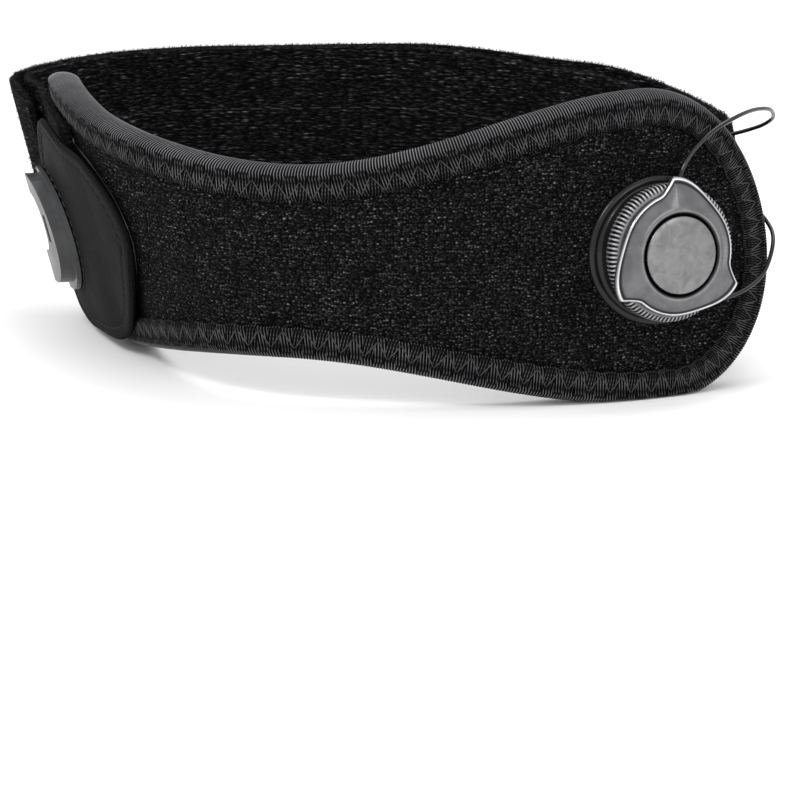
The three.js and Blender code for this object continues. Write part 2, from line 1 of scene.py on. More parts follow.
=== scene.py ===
"""Looks of the patella strap: ribbed tape, loop fabric, knit lining, stitched patch and lace dial."""
import math
import bpy
import numpy as np
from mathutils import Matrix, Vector


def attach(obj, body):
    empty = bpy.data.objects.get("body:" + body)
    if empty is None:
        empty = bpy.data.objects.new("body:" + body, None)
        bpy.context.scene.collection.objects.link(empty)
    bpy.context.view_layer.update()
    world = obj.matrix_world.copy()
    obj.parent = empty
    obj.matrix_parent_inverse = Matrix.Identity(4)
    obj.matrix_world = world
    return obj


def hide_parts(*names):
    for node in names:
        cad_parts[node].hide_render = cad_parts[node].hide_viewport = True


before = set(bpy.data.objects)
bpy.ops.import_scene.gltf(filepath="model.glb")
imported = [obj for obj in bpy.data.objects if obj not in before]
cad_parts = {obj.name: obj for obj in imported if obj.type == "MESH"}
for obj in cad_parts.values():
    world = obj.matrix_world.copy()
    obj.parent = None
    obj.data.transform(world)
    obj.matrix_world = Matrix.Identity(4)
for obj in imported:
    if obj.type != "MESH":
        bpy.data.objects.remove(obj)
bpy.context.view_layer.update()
rng = np.random.default_rng(7)

# The part's own sizes, in millimetres and degrees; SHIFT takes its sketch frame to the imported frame
MM = 0.001
SHIFT = np.array([-5.5514, -14.6119, 0.0])
PAD_HALF, PAD_FRONT = 116.0, -46.0
LOBE_TOP_AT, LOBE_BOTTOM_AT = 83.0, 88.0
NECK_TOP, NECK_BOTTOM = 23.0, 21.0
LOBE_TOP_LEFT, LOBE_TOP_RIGHT, LOBE_BOTTOM = 33.5, 38.0, 33.5
ROUND_LEFT, ROUND_RIGHT, ROUND_LOW = 2.2, 2.05, 1.9
TURN_LEFT, TURN_RIGHT = 71.0, 50.0
BEND_LEFT, EVEN_RIGHT = 2.1, 1.17
LEAN_LEFT, LEAN_RIGHT, LEAN_SPREAD = -14.0, 8.0, 0.5
FACE_WALL, LINING_WALL, GAP = 1.6, 2.8, 0.3
TAPE_WALL, TAPE_FRONT, TAPE_BACK, TAPE_ROLL = 1.05, 7.4, 6.4, 2.4
TAPE_ROOM, TAPE_CLEAR = 0.35, 0.5
REST_FLAT = 1.8
STRAP_WALL, STRAP_CHANNEL, STRAP_TALL = 1.6, 2.2, 34.5
STRAP_LOW, STRAP_LIFT, STRAP_CORNER, STRAP_ROOM = -16.5, 12.0, 7.0, 0.6
STRAP_START, STRAP_LEAVE, STRAP_BULGE, STRAP_BEND, STRAP_TUCK = 70.0, 66.0, 3.0, 1.6, 13.0
OUTER_START, OUTER_SHORT, OUTER_FLARE, OUTER_RAISE, OUTER_CORNER = 105.0, 27.0, 1.6, 1.6, 13.0
LEAN_FADE, LOOP_REACH, LOOP_DEPTH = 55.0, 91.0, 120.5
STRAP_TURNS = [(-0.89, 0.63), (-0.845, 0.77), (-0.75, 0.865), (-0.56, 0.945), (-0.3, 0.985), (-0.02, 1.0),
               (0.28, 0.975), (0.545, 0.915), (0.78, 0.815), (0.885, 0.735), (0.96, 0.63)]
STRAP_RISES = [(0, 0.42), (0.05, 0.46), (0.14, 0.8), (0.35, 0.9), (0.52, 1.0), (0.68, 0.75),
               (0.85, 0.2), (1, 0)]
PATCH_LENGTH, PATCH_TALL, PATCH_AT, PATCH_UP = 58.0, 55.0, -71.0, -3.5
PATCH_WALL, PATCH_RISE, PATCH_FLARE, PATCH_ROOM, HOOK_WALL, HOOK_INSET = 1.7, 14.0, 3.0, 0.9, 0.9, 1.2
PATCH_REAR = 8
PATCH_OUTLINE = [(0.5, 0.06), (0.465, 0.17), (0.38, 0.29), (0.225, 0.39), (0.05, 0.435), (-0.12, 0.5),
                 (-0.225, 0.43), (-0.36, 0.21), (-0.465, -0.08), (-0.5, -0.335), (-0.43, -0.445),
                 (-0.29, -0.5), (-0.085, -0.5), (0.155, -0.465), (0.31, -0.37), (0.42, -0.21),
                 (0.475, -0.065)]
PATCH_SEAM = 3.0
GUIDE_AT, GUIDE_UP, GUIDE_TALL, GUIDE_DEPTH = -92.0, -6.8, 28.0, 14.0
FLANGE_RIM = 1.8
DIAL_AT, DIAL_UP = 85.0, 2.0
KNOB_FOOT, KNOB_TEETH = 4.3, 96
CAP_FOOT, CAP_REACH, CAP_START = 8.2, 3.6, 92.0
STRAP_STITCH, STRAP_STITCH_LONG = 5.2, 3.4
PATCH_STITCH, PATCH_STITCH_LONG = 2.5, 1.7
CORD_THICK = 0.001

PAD_OUT = (FACE_WALL + GAP + LINING_WALL) / 2
TAPE_OUT = PAD_OUT + TAPE_CLEAR + TAPE_WALL
LAYER_INSET = TAPE_WALL + TAPE_ROOM + TAPE_CLEAR
MIDDLE = LOBE_BOTTOM * math.cos(math.radians(LEAN_RIGHT) / 2) - REST_FLAT


# Camera at the photograph's place and angle
cam_data = bpy.data.cameras.new("camera")
cam_data.lens, cam_data.sensor_width = 143.8, 36.0
cam_data.clip_start, cam_data.clip_end = 0.05, 20
cam = bpy.data.objects.new("camera", cam_data)
bpy.context.scene.collection.objects.link(cam)
cam.location = Vector((0.178270, -0.735406, 0.1975))
aim = Vector((0.013420, -0.029276, -0.00709))
cam.rotation_euler = (aim - cam.location).to_track_quat("-Z", "Y").to_euler()
bpy.context.scene.camera = cam


# The pad's plan curve and surface
def turn(s):
    u = np.abs(s) / PAD_HALF
    left = -math.radians(TURN_LEFT) * (1 - np.maximum(0, 1 - u) ** BEND_LEFT)
    right = math.radians(TURN_RIGHT) * (EVEN_RIGHT * u + (1 - EVEN_RIGHT) * u * u)
    return np.where(s < 0, left, right)


def smooth(x, a, b):
    t = np.clip((x - a) / (b - a), 0, 1)
    return t * t * (3 - 2 * t)


def lean(s):
    u = np.abs(s) / PAD_HALF
    return np.where(s < 0, math.radians(LEAN_LEFT) * smooth(u, 0, LEAN_SPREAD), math.radians(LEAN_RIGHT) * u ** 1.5)


_S = np.arange(-140, 140.01, 0.05)
_mid = (_S[1:] + _S[:-1]) / 2
_X = np.concatenate([[0], np.cumsum(np.cos(turn(_mid)) * 0.05)])
_Y = np.concatenate([[0], np.cumsum(np.sin(turn(_mid)) * 0.05)])
_X -= np.interp(0, _S, _X)
_Y -= np.interp(0, _S, _Y) - PAD_FRONT


def pad_rail(s):
    return np.interp(s, _S, _X), np.interp(s, _S, _Y), turn(s), lean(s)


def place(rail, s, h, n):
    """Points at distances along a rail, heights on its leaning surface and offsets outwards, in millimetres."""
    s, h, n = np.broadcast_arrays(np.asarray(s, float), np.asarray(h, float), np.asarray(n, float))
    x, y, a, tilt = rail(s)
    out = n - h * np.sin(tilt)
    return np.stack([x + np.sin(a) * out, y - np.cos(a) * out, MIDDLE + h * np.cos(tilt)], -1) + SHIFT


def edge_height(s, top):
    a = np.minimum(np.abs(s), PAD_HALF)
    lobe = np.where(s < 0, LOBE_TOP_LEFT, LOBE_TOP_RIGHT) if top else -LOBE_BOTTOM
    neck = NECK_TOP if top else -NECK_BOTTOM
    peak = LOBE_TOP_AT if top else LOBE_BOTTOM_AT
    inner = neck + (lobe - neck) * (0.5 - 0.5 * np.cos(np.pi * a / peak))
    e = np.clip((a - peak) / (PAD_HALF - peak), 0, 1)
    power = np.where(s < 0, ROUND_LEFT, ROUND_RIGHT if top else ROUND_LOW)
    return np.where(a < peak, inner, lobe * np.sqrt(1 - e ** power))


def edge_points(top, count):
    v = np.linspace(-1, 1, 8001)
    s = np.sign(v) * PAD_HALF * (1 - (1 - np.abs(v)) ** 2)
    p = np.stack([s, edge_height(s, top)], 1)
    d = np.concatenate([[0], np.cumsum(np.hypot(*np.diff(p, axis=0).T))])
    w = np.linspace(0, d[-1], count + 1)
    return np.stack([np.interp(w, d, p[:, 0]), np.interp(w, d, p[:, 1])], 1), d[-1]


def closed_outline(per_mm):
    bottom, lb = edge_points(False, 10)
    top, lt = edge_points(True, 10)
    nb, nt = round(lb * per_mm), round(lt * per_mm)
    bottom, top = edge_points(False, nb)[0], edge_points(True, nt)[0]
    return np.concatenate([bottom[:-1], top[:0:-1]]), lb + lt


def normals_in(p):
    d = np.roll(p, -1, 0) - np.roll(p, 1, 0)
    for _ in range(3):
        d = (np.roll(d, 1, 0) + d + np.roll(d, -1, 0)) / 3
    d /= np.hypot(d[:, 0], d[:, 1])[:, None]
    return np.stack([-d[:, 1], d[:, 0]], 1)


# Meshes
def new_object(name, verts, faces, uv=None):
    mesh = bpy.data.meshes.new(name)
    mesh.from_pydata((np.asarray(verts) * MM).tolist(), [], [list(map(int, f)) for f in faces])
    mesh.validate()
    if uv is not None:
        layer = mesh.uv_layers.new(name="UVMap")
        index = np.zeros(len(mesh.loops), np.int32)
        mesh.loops.foreach_get("vertex_index", index)
        layer.data.foreach_set("uv", np.asarray(uv, np.float32)[index].ravel())
    mesh.polygons.foreach_set("use_smooth", [True] * len(mesh.polygons))
    mesh.update()
    obj = bpy.data.objects.new(name, mesh)
    bpy.context.scene.collection.objects.link(obj)
    return obj


def grid_faces(n, m, wrap_n=False, wrap_m=False, start=0):
    i = np.arange(n if wrap_n else n - 1)
    j = np.arange(m if wrap_m else m - 1)
    a, b = np.meshgrid(i, j, indexing="ij")
    a, b = a.ravel(), b.ravel()
    a2, b2 = (a + 1) % n, (b + 1) % m
    return np.stack([a * m + b, a2 * m + b, a2 * m + b2, a * m + b2], 1) + start


def loft_object(name, rings):
    """A closed body through rings of equal count; each end is filled by one face."""
    rings = np.asarray(rings)
    n, m, _ = rings.shape
    faces = [list(f) for f in grid_faces(n, m, wrap_m=True)]
    faces.append(list(range(m)))
    faces.append(list(range((n - 1) * m, n * m))[::-1])
    return new_object(name, rings.reshape(-1, 3), faces)


def face_out(obj):
    """Turns a closed mesh's faces outwards."""
    mesh = obj.data
    co = np.zeros(len(mesh.vertices) * 3)
    mesh.vertices.foreach_get("co", co)
    co = co.reshape(-1, 3)
    mesh.calc_loop_triangles()
    tri = np.zeros(len(mesh.loop_triangles) * 3, np.int32)
    mesh.loop_triangles.foreach_get("vertices", tri)
    a, b, c = co[tri.reshape(-1, 3)].transpose(1, 0, 2)
    if (a * np.cross(b, c)).sum() < 0:
        mesh.flip_normals()
    return obj


def sheet_object(name, rail, lower, upper, rows, inner, outer, rim=0.5, bumps=None):
    """A closed layer with rounded edges between a lower and an upper line of a rail's surface."""
    lower, upper = np.asarray(lower), np.asarray(upper)
    t = np.linspace(0, 1, rows + 1)
    p = lower[:, None] + (upper - lower)[:, None] * t[None, :, None]
    s, h = p[..., 0], p[..., 1]
    low, high = inner(s, h), outer(s, h)
    mid, half = (low + high) / 2, (high - low) / 2
    span = np.hypot(*(upper - lower).T)[:, None]
    d = np.minimum(t, 1 - t)[None] * span
    along = np.concatenate([[0], np.cumsum(np.hypot(*np.diff((lower + upper) / 2, axis=0).T))])
    ends = np.minimum(along, along[-1] - along)[:, None]
    d = np.minimum(d, ends)
    x = np.clip(d / rim, 0, 1)
    round_off = np.sqrt(1 - (1 - x) ** 2)
    lift = 0 if bumps is None else bumps(s, h) * x
    front = place(rail, s, h, mid + half * round_off + lift)
    back = place(rail, s, h, mid - half * round_off)
    n, m = s.shape
    verts = np.concatenate([front.reshape(-1, 3), back.reshape(-1, 3)])
    uv = np.stack([s.ravel(), h.ravel()], 1)
    uv = np.concatenate([uv, uv])
    f1 = grid_faces(n, m)
    f2 = grid_faces(n, m, start=n * m)[:, ::-1]
    idx = np.arange(n * m).reshape(n, m)
    loop = np.concatenate([idx[:-1, 0], idx[-1, :-1], idx[:0:-1, -1], idx[0, :0:-1]])
    nxt = np.roll(loop, -1)
    f3 = np.stack([loop, loop + n * m, nxt + n * m, nxt], 1)
    obj = new_object(name, verts, np.concatenate([f1, f2, f3]), uv)
    return face_out(obj)


# Materials
def material(name, color, roughness, metallic=0.0):
    mat = bpy.data.materials.new(name)
    mat.use_nodes = True
    nodes, links = mat.node_tree.nodes, mat.node_tree.links
    bsdf = nodes["Principled BSDF"]
    bsdf.inputs["Base Color"].default_value = (*color, 1)
    bsdf.inputs["Roughness"].default_value = roughness
    bsdf.inputs["Metallic"].default_value = metallic
    return mat, nodes, links, bsdf


def node(nodes, kind, **values):
    made = nodes.new(kind)
    for key, value in values.items():
        if key in made.inputs:
            made.inputs[key].default_value = value
        else:
            setattr(made, key, value)
    return made


def coords(nodes, links, kind="Object", scale=(1, 1, 1)):
    c = nodes.new("ShaderNodeTexCoord")
    m = nodes.new("ShaderNodeMapping")
    m.inputs["Scale"].default_value = scale
    links.new(c.outputs[kind], m.inputs["Vector"])
    return m.outputs["Vector"]


def ramp(nodes, links, source, stops):
    r = nodes.new("ShaderNodeValToRGB")
    while len(r.color_ramp.elements) < len(stops):
        r.color_ramp.elements.new(0.5)
    for element, (at, value) in zip(r.color_ramp.elements, stops):
        element.position = at
        element.color = (*value, 1) if hasattr(value, "__len__") else (value, value, value * 1.02, 1)
    links.new(source, r.inputs["Fac"])
    return r.outputs["Color"]


def bump(nodes, links, bsdf, source, strength, distance, normal=None):
    b = nodes.new("ShaderNodeBump")
    b.inputs["Strength"].default_value = strength
    b.inputs["Distance"].default_value = distance
    links.new(source, b.inputs["Height"])
    if normal is not None:
        links.new(normal, b.inputs["Normal"])
    if bsdf is not None:
        links.new(b.outputs["Normal"], bsdf.inputs["Normal"])
    return b.outputs["Normal"]


def mixed(nodes, links, a, b, fac):
    m = nodes.new("ShaderNodeMix")
    m.data_type, m.blend_type = "RGBA", "MULTIPLY"
    m.inputs["Factor"].default_value = fac
    links.new(a, m.inputs[6])
    links.new(b, m.inputs[7])
    return m.outputs[2]


def loop_fabric(name, top, scale, rows, spread):
    """Loop pile in rows: painted highlights on the loop tops, painted shade in the gaps between loops, and pale
    specks. The scale is in loops a millimetre.
    """
    mat, n, l, bsdf = material(name, (0.012, 0.012, 0.0125), 0.92)
    bsdf.inputs["Specular IOR Level"].default_value = 0.06
    at = coords(n, l, "UV", (*scale, 1))
    tangle = node(n, "ShaderNodeTexNoise", Scale=0.9, Detail=3.0, Roughness=0.6)
    l.new(at, tangle.inputs["Vector"])
    moved = node(n, "ShaderNodeVectorMath", operation="ADD")
    l.new(at, moved.inputs[0])
    l.new(tangle.outputs["Color"], moved.inputs[1])
    loops = node(n, "ShaderNodeTexVoronoi", Scale=1.0, Randomness=1.0)
    l.new(moved.outputs["Vector"], loops.inputs["Vector"])
    each = n.new("ShaderNodeSeparateColor")
    l.new(loops.outputs["Color"], each.inputs["Color"])
    # Painted light: each loop's top is painted bright as a highlight and the gaps between loops near black as shade
    loop_painted_light = ramp(n, l, loops.outputs["Distance"], [(0.05, top), (0.35, top * 0.25), (0.65, top * 0.005)])
    varied = ramp(n, l, each.outputs[0], [(0.0, 0.12), (0.55, 0.45), (0.9, 1.0), (1.0, spread)])
    color = mixed(n, l, loop_painted_light, varied, 1.0)
    lines = node(n, "ShaderNodeTexWave", Scale=rows, Distortion=2.5, Detail=2.0)
    lines.bands_direction = "Y"
    l.new(coords(n, l, "UV"), lines.inputs["Vector"])
    color = mixed(n, l, color, ramp(n, l, lines.outputs["Fac"], [(0.1, 0.5), (0.8, 1.2)]), 1.0)
    broad = node(n, "ShaderNodeTexNoise", Scale=0.12, Detail=3.0)
    l.new(coords(n, l, "UV"), broad.inputs["Vector"])
    color = mixed(n, l, color, ramp(n, l, broad.outputs["Fac"], [(0.3, 0.7), (0.7, 1.25)]), 1.0)
    l.new(color, bsdf.inputs["Base Color"])
    bump(n, l, bsdf, loops.outputs["Distance"], 0.8, -0.0004)
    return mat


mat_pad = loop_fabric("loop_pad", 0.1, (1.5, 2.4), 0.32, 2.6)
mat_strap = loop_fabric("loop_strap", 0.07, (0.5, 2.4), 0.3, 2.6)


def tape_material():
    mat, n, l, bsdf = material("ribbed_tape", (0.02, 0.02, 0.021), 0.62)
    bsdf.inputs["Specular IOR Level"].default_value = 0.03
    at = coords(n, l, "Object")
    fibre = node(n, "ShaderNodeTexNoise", Scale=3800.0, Detail=2.0, Roughness=0.6)
    l.new(at, fibre.inputs["Vector"])
    broad = node(n, "ShaderNodeTexNoise", Scale=90.0, Detail=2.0)
    l.new(at, broad.inputs["Vector"])
    # Base colour follows a vertex attribute of painted light: painted highlights on the rib crests and rolled edge,
    # painted shade between the ribs and in the stitch dents
    painted_light = n.new("ShaderNodeAttribute")
    painted_light.attribute_name = "painted_light"
    base = ramp(n, l, painted_light.outputs["Fac"], [(0.0, 0.0002), (0.4, 0.001), (0.65, 0.02), (1.0, 0.24)])
    worn = ramp(n, l, broad.outputs["Fac"], [(0.3, 0.75), (0.7, 1.2)])
    color = mixed(n, l, base, worn, 1.0)
    grain = ramp(n, l, fibre.outputs["Fac"], [(0.3, 0.7), (0.7, 1.3)])
    l.new(mixed(n, l, color, grain, 0.8), bsdf.inputs["Base Color"])
    bump(n, l, bsdf, fibre.outputs["Fac"], 0.35, 0.0002)
    return mat


mat_tape = tape_material()


def knit_material():
    """Fine knit: rows of small loops with a soft sheen."""
    mat, n, l, bsdf = material("lining_knit", (0.022, 0.022, 0.023), 0.68)
    bsdf.inputs["Specular IOR Level"].default_value = 0.15
    bsdf.inputs["Sheen Weight"].default_value = 0.04
    at = coords(n, l, "UV")
    rows = node(n, "ShaderNodeTexWave", Scale=1.9, Distortion=1.2, Detail=1.0)
    rows.bands_direction = "X"
    l.new(at, rows.inputs["Vector"])
    courses = node(n, "ShaderNodeTexWave", Scale=1.5, Distortion=1.6, Detail=1.0)
    courses.bands_direction = "Y"
    l.new(at, courses.inputs["Vector"])
    both = mixed(n, l, rows.outputs["Color"], courses.outputs["Color"], 1.0)
    fine = node(n, "ShaderNodeTexNoise", Scale=1600.0, Detail=2.0)
    l.new(coords(n, l, "Object"), fine.inputs["Vector"])
    base = ramp(n, l, both, [(0.0, 0.006), (0.6, 0.013), (1.0, 0.02)])
    grain = ramp(n, l, fine.outputs["Fac"], [(0.3, 0.8), (0.7, 1.2)])
    l.new(mixed(n, l, base, grain, 0.9), bsdf.inputs["Base Color"])
    bump(n, l, bsdf, both, 0.25, 0.0002)
    return mat


mat_knit = knit_material()


def leather_material():
    mat, n, l, bsdf = material("faux_leather", (0.024, 0.024, 0.025), 0.55)
    bsdf.inputs["Specular IOR Level"].default_value = 0.06
    at = coords(n, l, "Object")
    grain = node(n, "ShaderNodeTexVoronoi", Scale=1500.0)
    l.new(at, grain.inputs["Vector"])
    fine = node(n, "ShaderNodeTexNoise", Scale=2600.0, Detail=3.0)
    l.new(at, fine.inputs["Vector"])
    broad = node(n, "ShaderNodeTexNoise", Scale=120.0, Detail=3.0)
    l.new(at, broad.inputs["Vector"])
    base = ramp(n, l, fine.outputs["Fac"], [(0.3, 0.003), (0.6, 0.008), (0.8, 0.024)])
    worn = ramp(n, l, broad.outputs["Fac"], [(0.3, 0.8), (0.7, 1.2)])
    l.new(mixed(n, l, base, worn, 1.0), bsdf.inputs["Base Color"])
    rough = ramp(n, l, broad.outputs["Fac"], [(0.2, 0.6), (0.8, 0.78)])
    l.new(rough, bsdf.inputs["Roughness"])
    first = bump(n, l, None, grain.outputs["Distance"], 0.35, 0.0003)
    bump(n, l, bsdf, fine.outputs["Fac"], 0.25, 0.0002, first)
    return mat


mat_leather = leather_material()


def plain(name, color, roughness, metallic=0.0, grain=2500.0, depth=0.08, spread=0.15, spec=0.5):
    """Moulded plastic, thread or metal: slight mottling, fine grain and scuffs."""
    mat, n, l, bsdf = material(name, color, roughness, metallic)
    bsdf.inputs["Specular IOR Level"].default_value = spec
    at = coords(n, l, "Object")
    fine = node(n, "ShaderNodeTexNoise", Scale=grain, Detail=3.0)
    l.new(at, fine.inputs["Vector"])
    broad = node(n, "ShaderNodeTexNoise", Scale=160.0, Detail=4.0, Roughness=0.6)
    l.new(at, broad.inputs["Vector"])
    dark = tuple(c * (1 - spread) for c in color)
    light = tuple(c * (1 + spread) for c in color)
    l.new(ramp(n, l, broad.outputs["Fac"], [(0.3, dark), (0.7, light)]), bsdf.inputs["Base Color"])
    rough = ramp(n, l, broad.outputs["Fac"], [(0.3, roughness * 0.85), (0.7, roughness * 1.15)])
    l.new(rough, bsdf.inputs["Roughness"])
    bump(n, l, bsdf, fine.outputs["Fac"], depth, 0.0001)
    return mat


mat_grey = plain("guide_plastic", (0.055, 0.056, 0.058), 0.34, spec=0.3)
mat_dark = plain("dial_plastic", (0.006, 0.006, 0.0065), 0.26, spec=0.3)
mat_thread = plain("thread", (0.05, 0.05, 0.051), 0.5, grain=6000.0, depth=0.3, spec=0.15)
mat_thread_dark = plain("dark_thread", (0.03, 0.03, 0.031), 0.55, grain=6000.0, depth=0.3, spec=0.1)
mat_lace = plain("lace_cable", (0.008, 0.008, 0.009), 0.16, 0.15, spec=0.45)
mat_hook = plain("hook_edge", (0.004, 0.004, 0.004), 0.25, grain=3500.0, depth=0.3, spec=0.35)
mat_fibre = plain("fibre", (0.022, 0.022, 0.023), 0.6, grain=6000.0, depth=0.1, spec=0.08)


def disc_material():
    """Satin metal with soft scratches."""
    mat, n, l, bsdf = material("dial_disc_finish", (0.2, 0.201, 0.204), 0.28, 0.8)
    at = coords(n, l, "Object")
    broad = node(n, "ShaderNodeTexNoise", Scale=220.0, Detail=5.0, Roughness=0.7, Distortion=1.5)
    l.new(at, broad.inputs["Vector"])
    scratch = node(n, "ShaderNodeTexNoise", Scale=900.0, Detail=4.0, Roughness=0.6, Distortion=3.0)
    l.new(coords(n, l, "Object", (1, 0.2, 0.2)), scratch.inputs["Vector"])
    l.new(ramp(n, l, broad.outputs["Fac"], [(0.3, (0.14, 0.141, 0.143)), (0.7, (0.25, 0.251, 0.254))]),
          bsdf.inputs["Base Color"])
    rough = ramp(n, l, scratch.outputs["Fac"], [(0.35, 0.26), (0.6, 0.38), (0.72, 0.5)])
    l.new(rough, bsdf.inputs["Roughness"])
    bump(n, l, bsdf, scratch.outputs["Fac"], 0.06, 0.0001)
    return mat


mat_disc = disc_material()


def painted_light_material(name, stops, roughness, metallic, spec):
    """A moulded or polished piece whose base colour follows its painted light attribute, painted highlights and
    painted shade, with fine scuffs.
    """
    mat, n, l, bsdf = material(name, (0.05, 0.05, 0.052), roughness, metallic)
    bsdf.inputs["Specular IOR Level"].default_value = spec
    painted_light = n.new("ShaderNodeAttribute")
    painted_light.attribute_name = "painted_light"
    broad = node(n, "ShaderNodeTexNoise", Scale=260.0, Detail=4.0, Roughness=0.6)
    l.new(coords(n, l, "Object"), broad.inputs["Vector"])
    scuffs = ramp(n, l, broad.outputs["Fac"], [(0.3, 0.75), (0.7, 1.2)])
    l.new(mixed(n, l, ramp(n, l, painted_light.outputs["Fac"], stops), scuffs, 1.0), bsdf.inputs["Base Color"])
    rough = ramp(n, l, broad.outputs["Fac"], [(0.3, roughness * 0.8), (0.7, roughness * 1.2)])
    l.new(rough, bsdf.inputs["Roughness"])
    return mat


def set_painted_light(obj, values):
    made = obj.data.attributes.new("painted_light", "FLOAT", "POINT")
    made.data.foreach_set("value", np.asarray(values, np.float32).ravel())


# Painted light: the bright knob tooth tops and cap rim crests are painted highlights; the dark gaps between teeth
# and the cap's grooves are painted shade
mat_knurl = painted_light_material("knurl_plastic", [(0.0, 0.001), (0.5, 0.012), (1.0, 0.42)], 0.3, 0.1, 0.35)
mat_cap = painted_light_material("dial_cap_painted_light", [(0.0, 0.002), (0.4, 0.06), (0.7, 0.16), (1.0, 0.75)], 0.26, 0.5, 0.4)


def dress(obj, mat, body="strap"):
    obj.data.materials.clear()
    obj.data.materials.append(mat)
    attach(obj, body)
    return obj


# Laces, on the routes of the part
LACE_UPPER = [(84.3, -19.1, 49.2), (85.2, -18.1, 52.3), (87.2, -15.6, 56.0), (91.0, -11.0, 59.8), (95.2, -5.0, 62.0),
              (98.6, 4.0, 62.3), (101.0, 12.0, 60.9), (101.0, 18.5, 57.9), (98.3, 24.0, 55.1), (94.2, 29.0, 52.7),
              (88.4, 34.0, 50.1), (85.3, 38.0, 48.5), (81.2, 45.0, 47.7)]
LACE_LOWER = [(91.4, -16.4, 22.8), (93.6, -15.3, 21.8), (96.4, -13.2, 22.2), (99.7, -9.2, 23.4), (102.4, -5.0, 25.7),
              (103.8, -1.1, 29.9), (103.5, 3.4, 33.3), (101.0, 8.6, 35.7), (97.8, 15.0, 36.5), (94.9, 22.0, 36.6),
              (91.4, 29.2, 36.3), (86.4, 38.2, 35.9), (82.0, 45.3, 35.7)]
LACE_LEFT = [(-84.3, 35.6, 39.5), (-84.7, 30.7, 39.0), (-82.2, 25.1, 38.2), (-78.8, 22.3, 36.9), (-76.7, 20.5, 35.7),
             (-77.1, 18.3, 35.5), (-78.5, 14.0, 35.9), (-79.8, 9.3, 36.6), (-77.0, 4.6, 36.3), (-74.1, 0.9, 34.0),
             (-71.4, -1.3, 30.0), (-69.7, -1.8, 25.0), (-69.2, -0.3, 20.0), (-69.9, 2.7, 16.0), (-71.8, 6.7, 13.8),
             (-74.4, 11.4, 13.5), (-75.8, 15.0, 14.5), (-76.3, 18.6, 17.1), (-73.8, 20.1, 22.9), (-75.8, 22.8, 26.8),
             (-78.3, 24.3, 29.3), (-80.8, 26.4, 30.3), (-82.8, 30.8, 30.6), (-82.6, 35.3, 30.6)]


def smooth_route(points, per=8):
    """Centripetal curve through the points."""
    p = np.asarray(points, float)
    p = np.concatenate([[2 * p[0] - p[1]], p, [2 * p[-1] - p[-2]]])
    out = []
    for i in range(1, len(p) - 2):
        p0, p1, p2, p3 = p[i - 1:i + 3]
        t0 = 0.0
        t1 = t0 + np.linalg.norm(p1 - p0) ** 0.5
        t2 = t1 + np.linalg.norm(p2 - p1) ** 0.5
        t3 = t2 + np.linalg.norm(p3 - p2) ** 0.5
        for k in range(per):
            t = t1 + (t2 - t1) * k / per
            a1 = (t1 - t) / (t1 - t0) * p0 + (t - t0) / (t1 - t0) * p1
            a2 = (t2 - t) / (t2 - t1) * p1 + (t - t1) / (t2 - t1) * p2
            a3 = (t3 - t) / (t3 - t2) * p2 + (t - t2) / (t3 - t2) * p3
            b1 = (t2 - t) / (t2 - t0) * a1 + (t - t0) / (t2 - t0) * a2
            b2 = (t3 - t) / (t3 - t1) * a2 + (t - t1) / (t3 - t1) * a3
            out.append((t2 - t) / (t2 - t1) * b1 + (t - t1) / (t2 - t1) * b2)
    out.append(p[-2])
    return np.array(out)


for lace_name, route in (("lace_upper", LACE_UPPER), ("lace_lower", LACE_LOWER), ("lace_left", LACE_LEFT)):
    line = smooth_route(np.asarray(route) + SHIFT) * MM
    curve = bpy.data.curves.new(lace_name + "_cable", "CURVE")
    curve.dimensions, curve.bevel_depth, curve.bevel_resolution = "3D", CORD_THICK / 2, 3
    curve.use_fill_caps = True
    spline = curve.splines.new("POLY")
    spline.points.add(len(line) - 1)
    spline.points.foreach_set("co", np.column_stack([line, np.ones(len(line))]).ravel())
    spline.use_smooth = True
    cable = bpy.data.objects.new(lace_name + "_cable", curve)
    bpy.context.scene.collection.objects.link(cable)
    curve.materials.append(mat_lace)
    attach(cable, "strap")
    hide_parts(lace_name)


# Edge tape: fine ribs across it, stronger on the rolled edge, pulled into a zigzag by the stitches
RIB = 0.65
ZIG = 5.0


def tape_section(count):
    """Distances in from the edge and offsets of the tape's outer skin, and its place across as 0 to 1."""
    pts = [(TAPE_FRONT, PAD_OUT + TAPE_CLEAR * 0.4), (TAPE_FRONT + 0.05, TAPE_OUT - TAPE_WALL * 0.45),
           (TAPE_FRONT - 0.35, TAPE_OUT - 0.12), (TAPE_FRONT - 0.9, TAPE_OUT)]
    for k in range(19):
        a = math.pi / 2 - math.pi * k / 18
        pts.append((TAPE_ROLL * (1 - math.cos(a)), TAPE_OUT * math.sin(a)))
    pts += [(TAPE_BACK - 0.9, -TAPE_OUT), (TAPE_BACK - 0.35, -TAPE_OUT + 0.12),
            (TAPE_BACK + 0.05, -TAPE_OUT + TAPE_WALL * 0.45), (TAPE_BACK, -PAD_OUT - TAPE_CLEAR * 0.4)]
    p = np.array(pts)
    d = np.concatenate([[0], np.cumsum(np.hypot(*np.diff(p, axis=0).T))])
    w = np.linspace(0, d[-1], count)
    return np.stack([np.interp(w, d, p[:, 0]), np.interp(w, d, p[:, 1])], 1), w


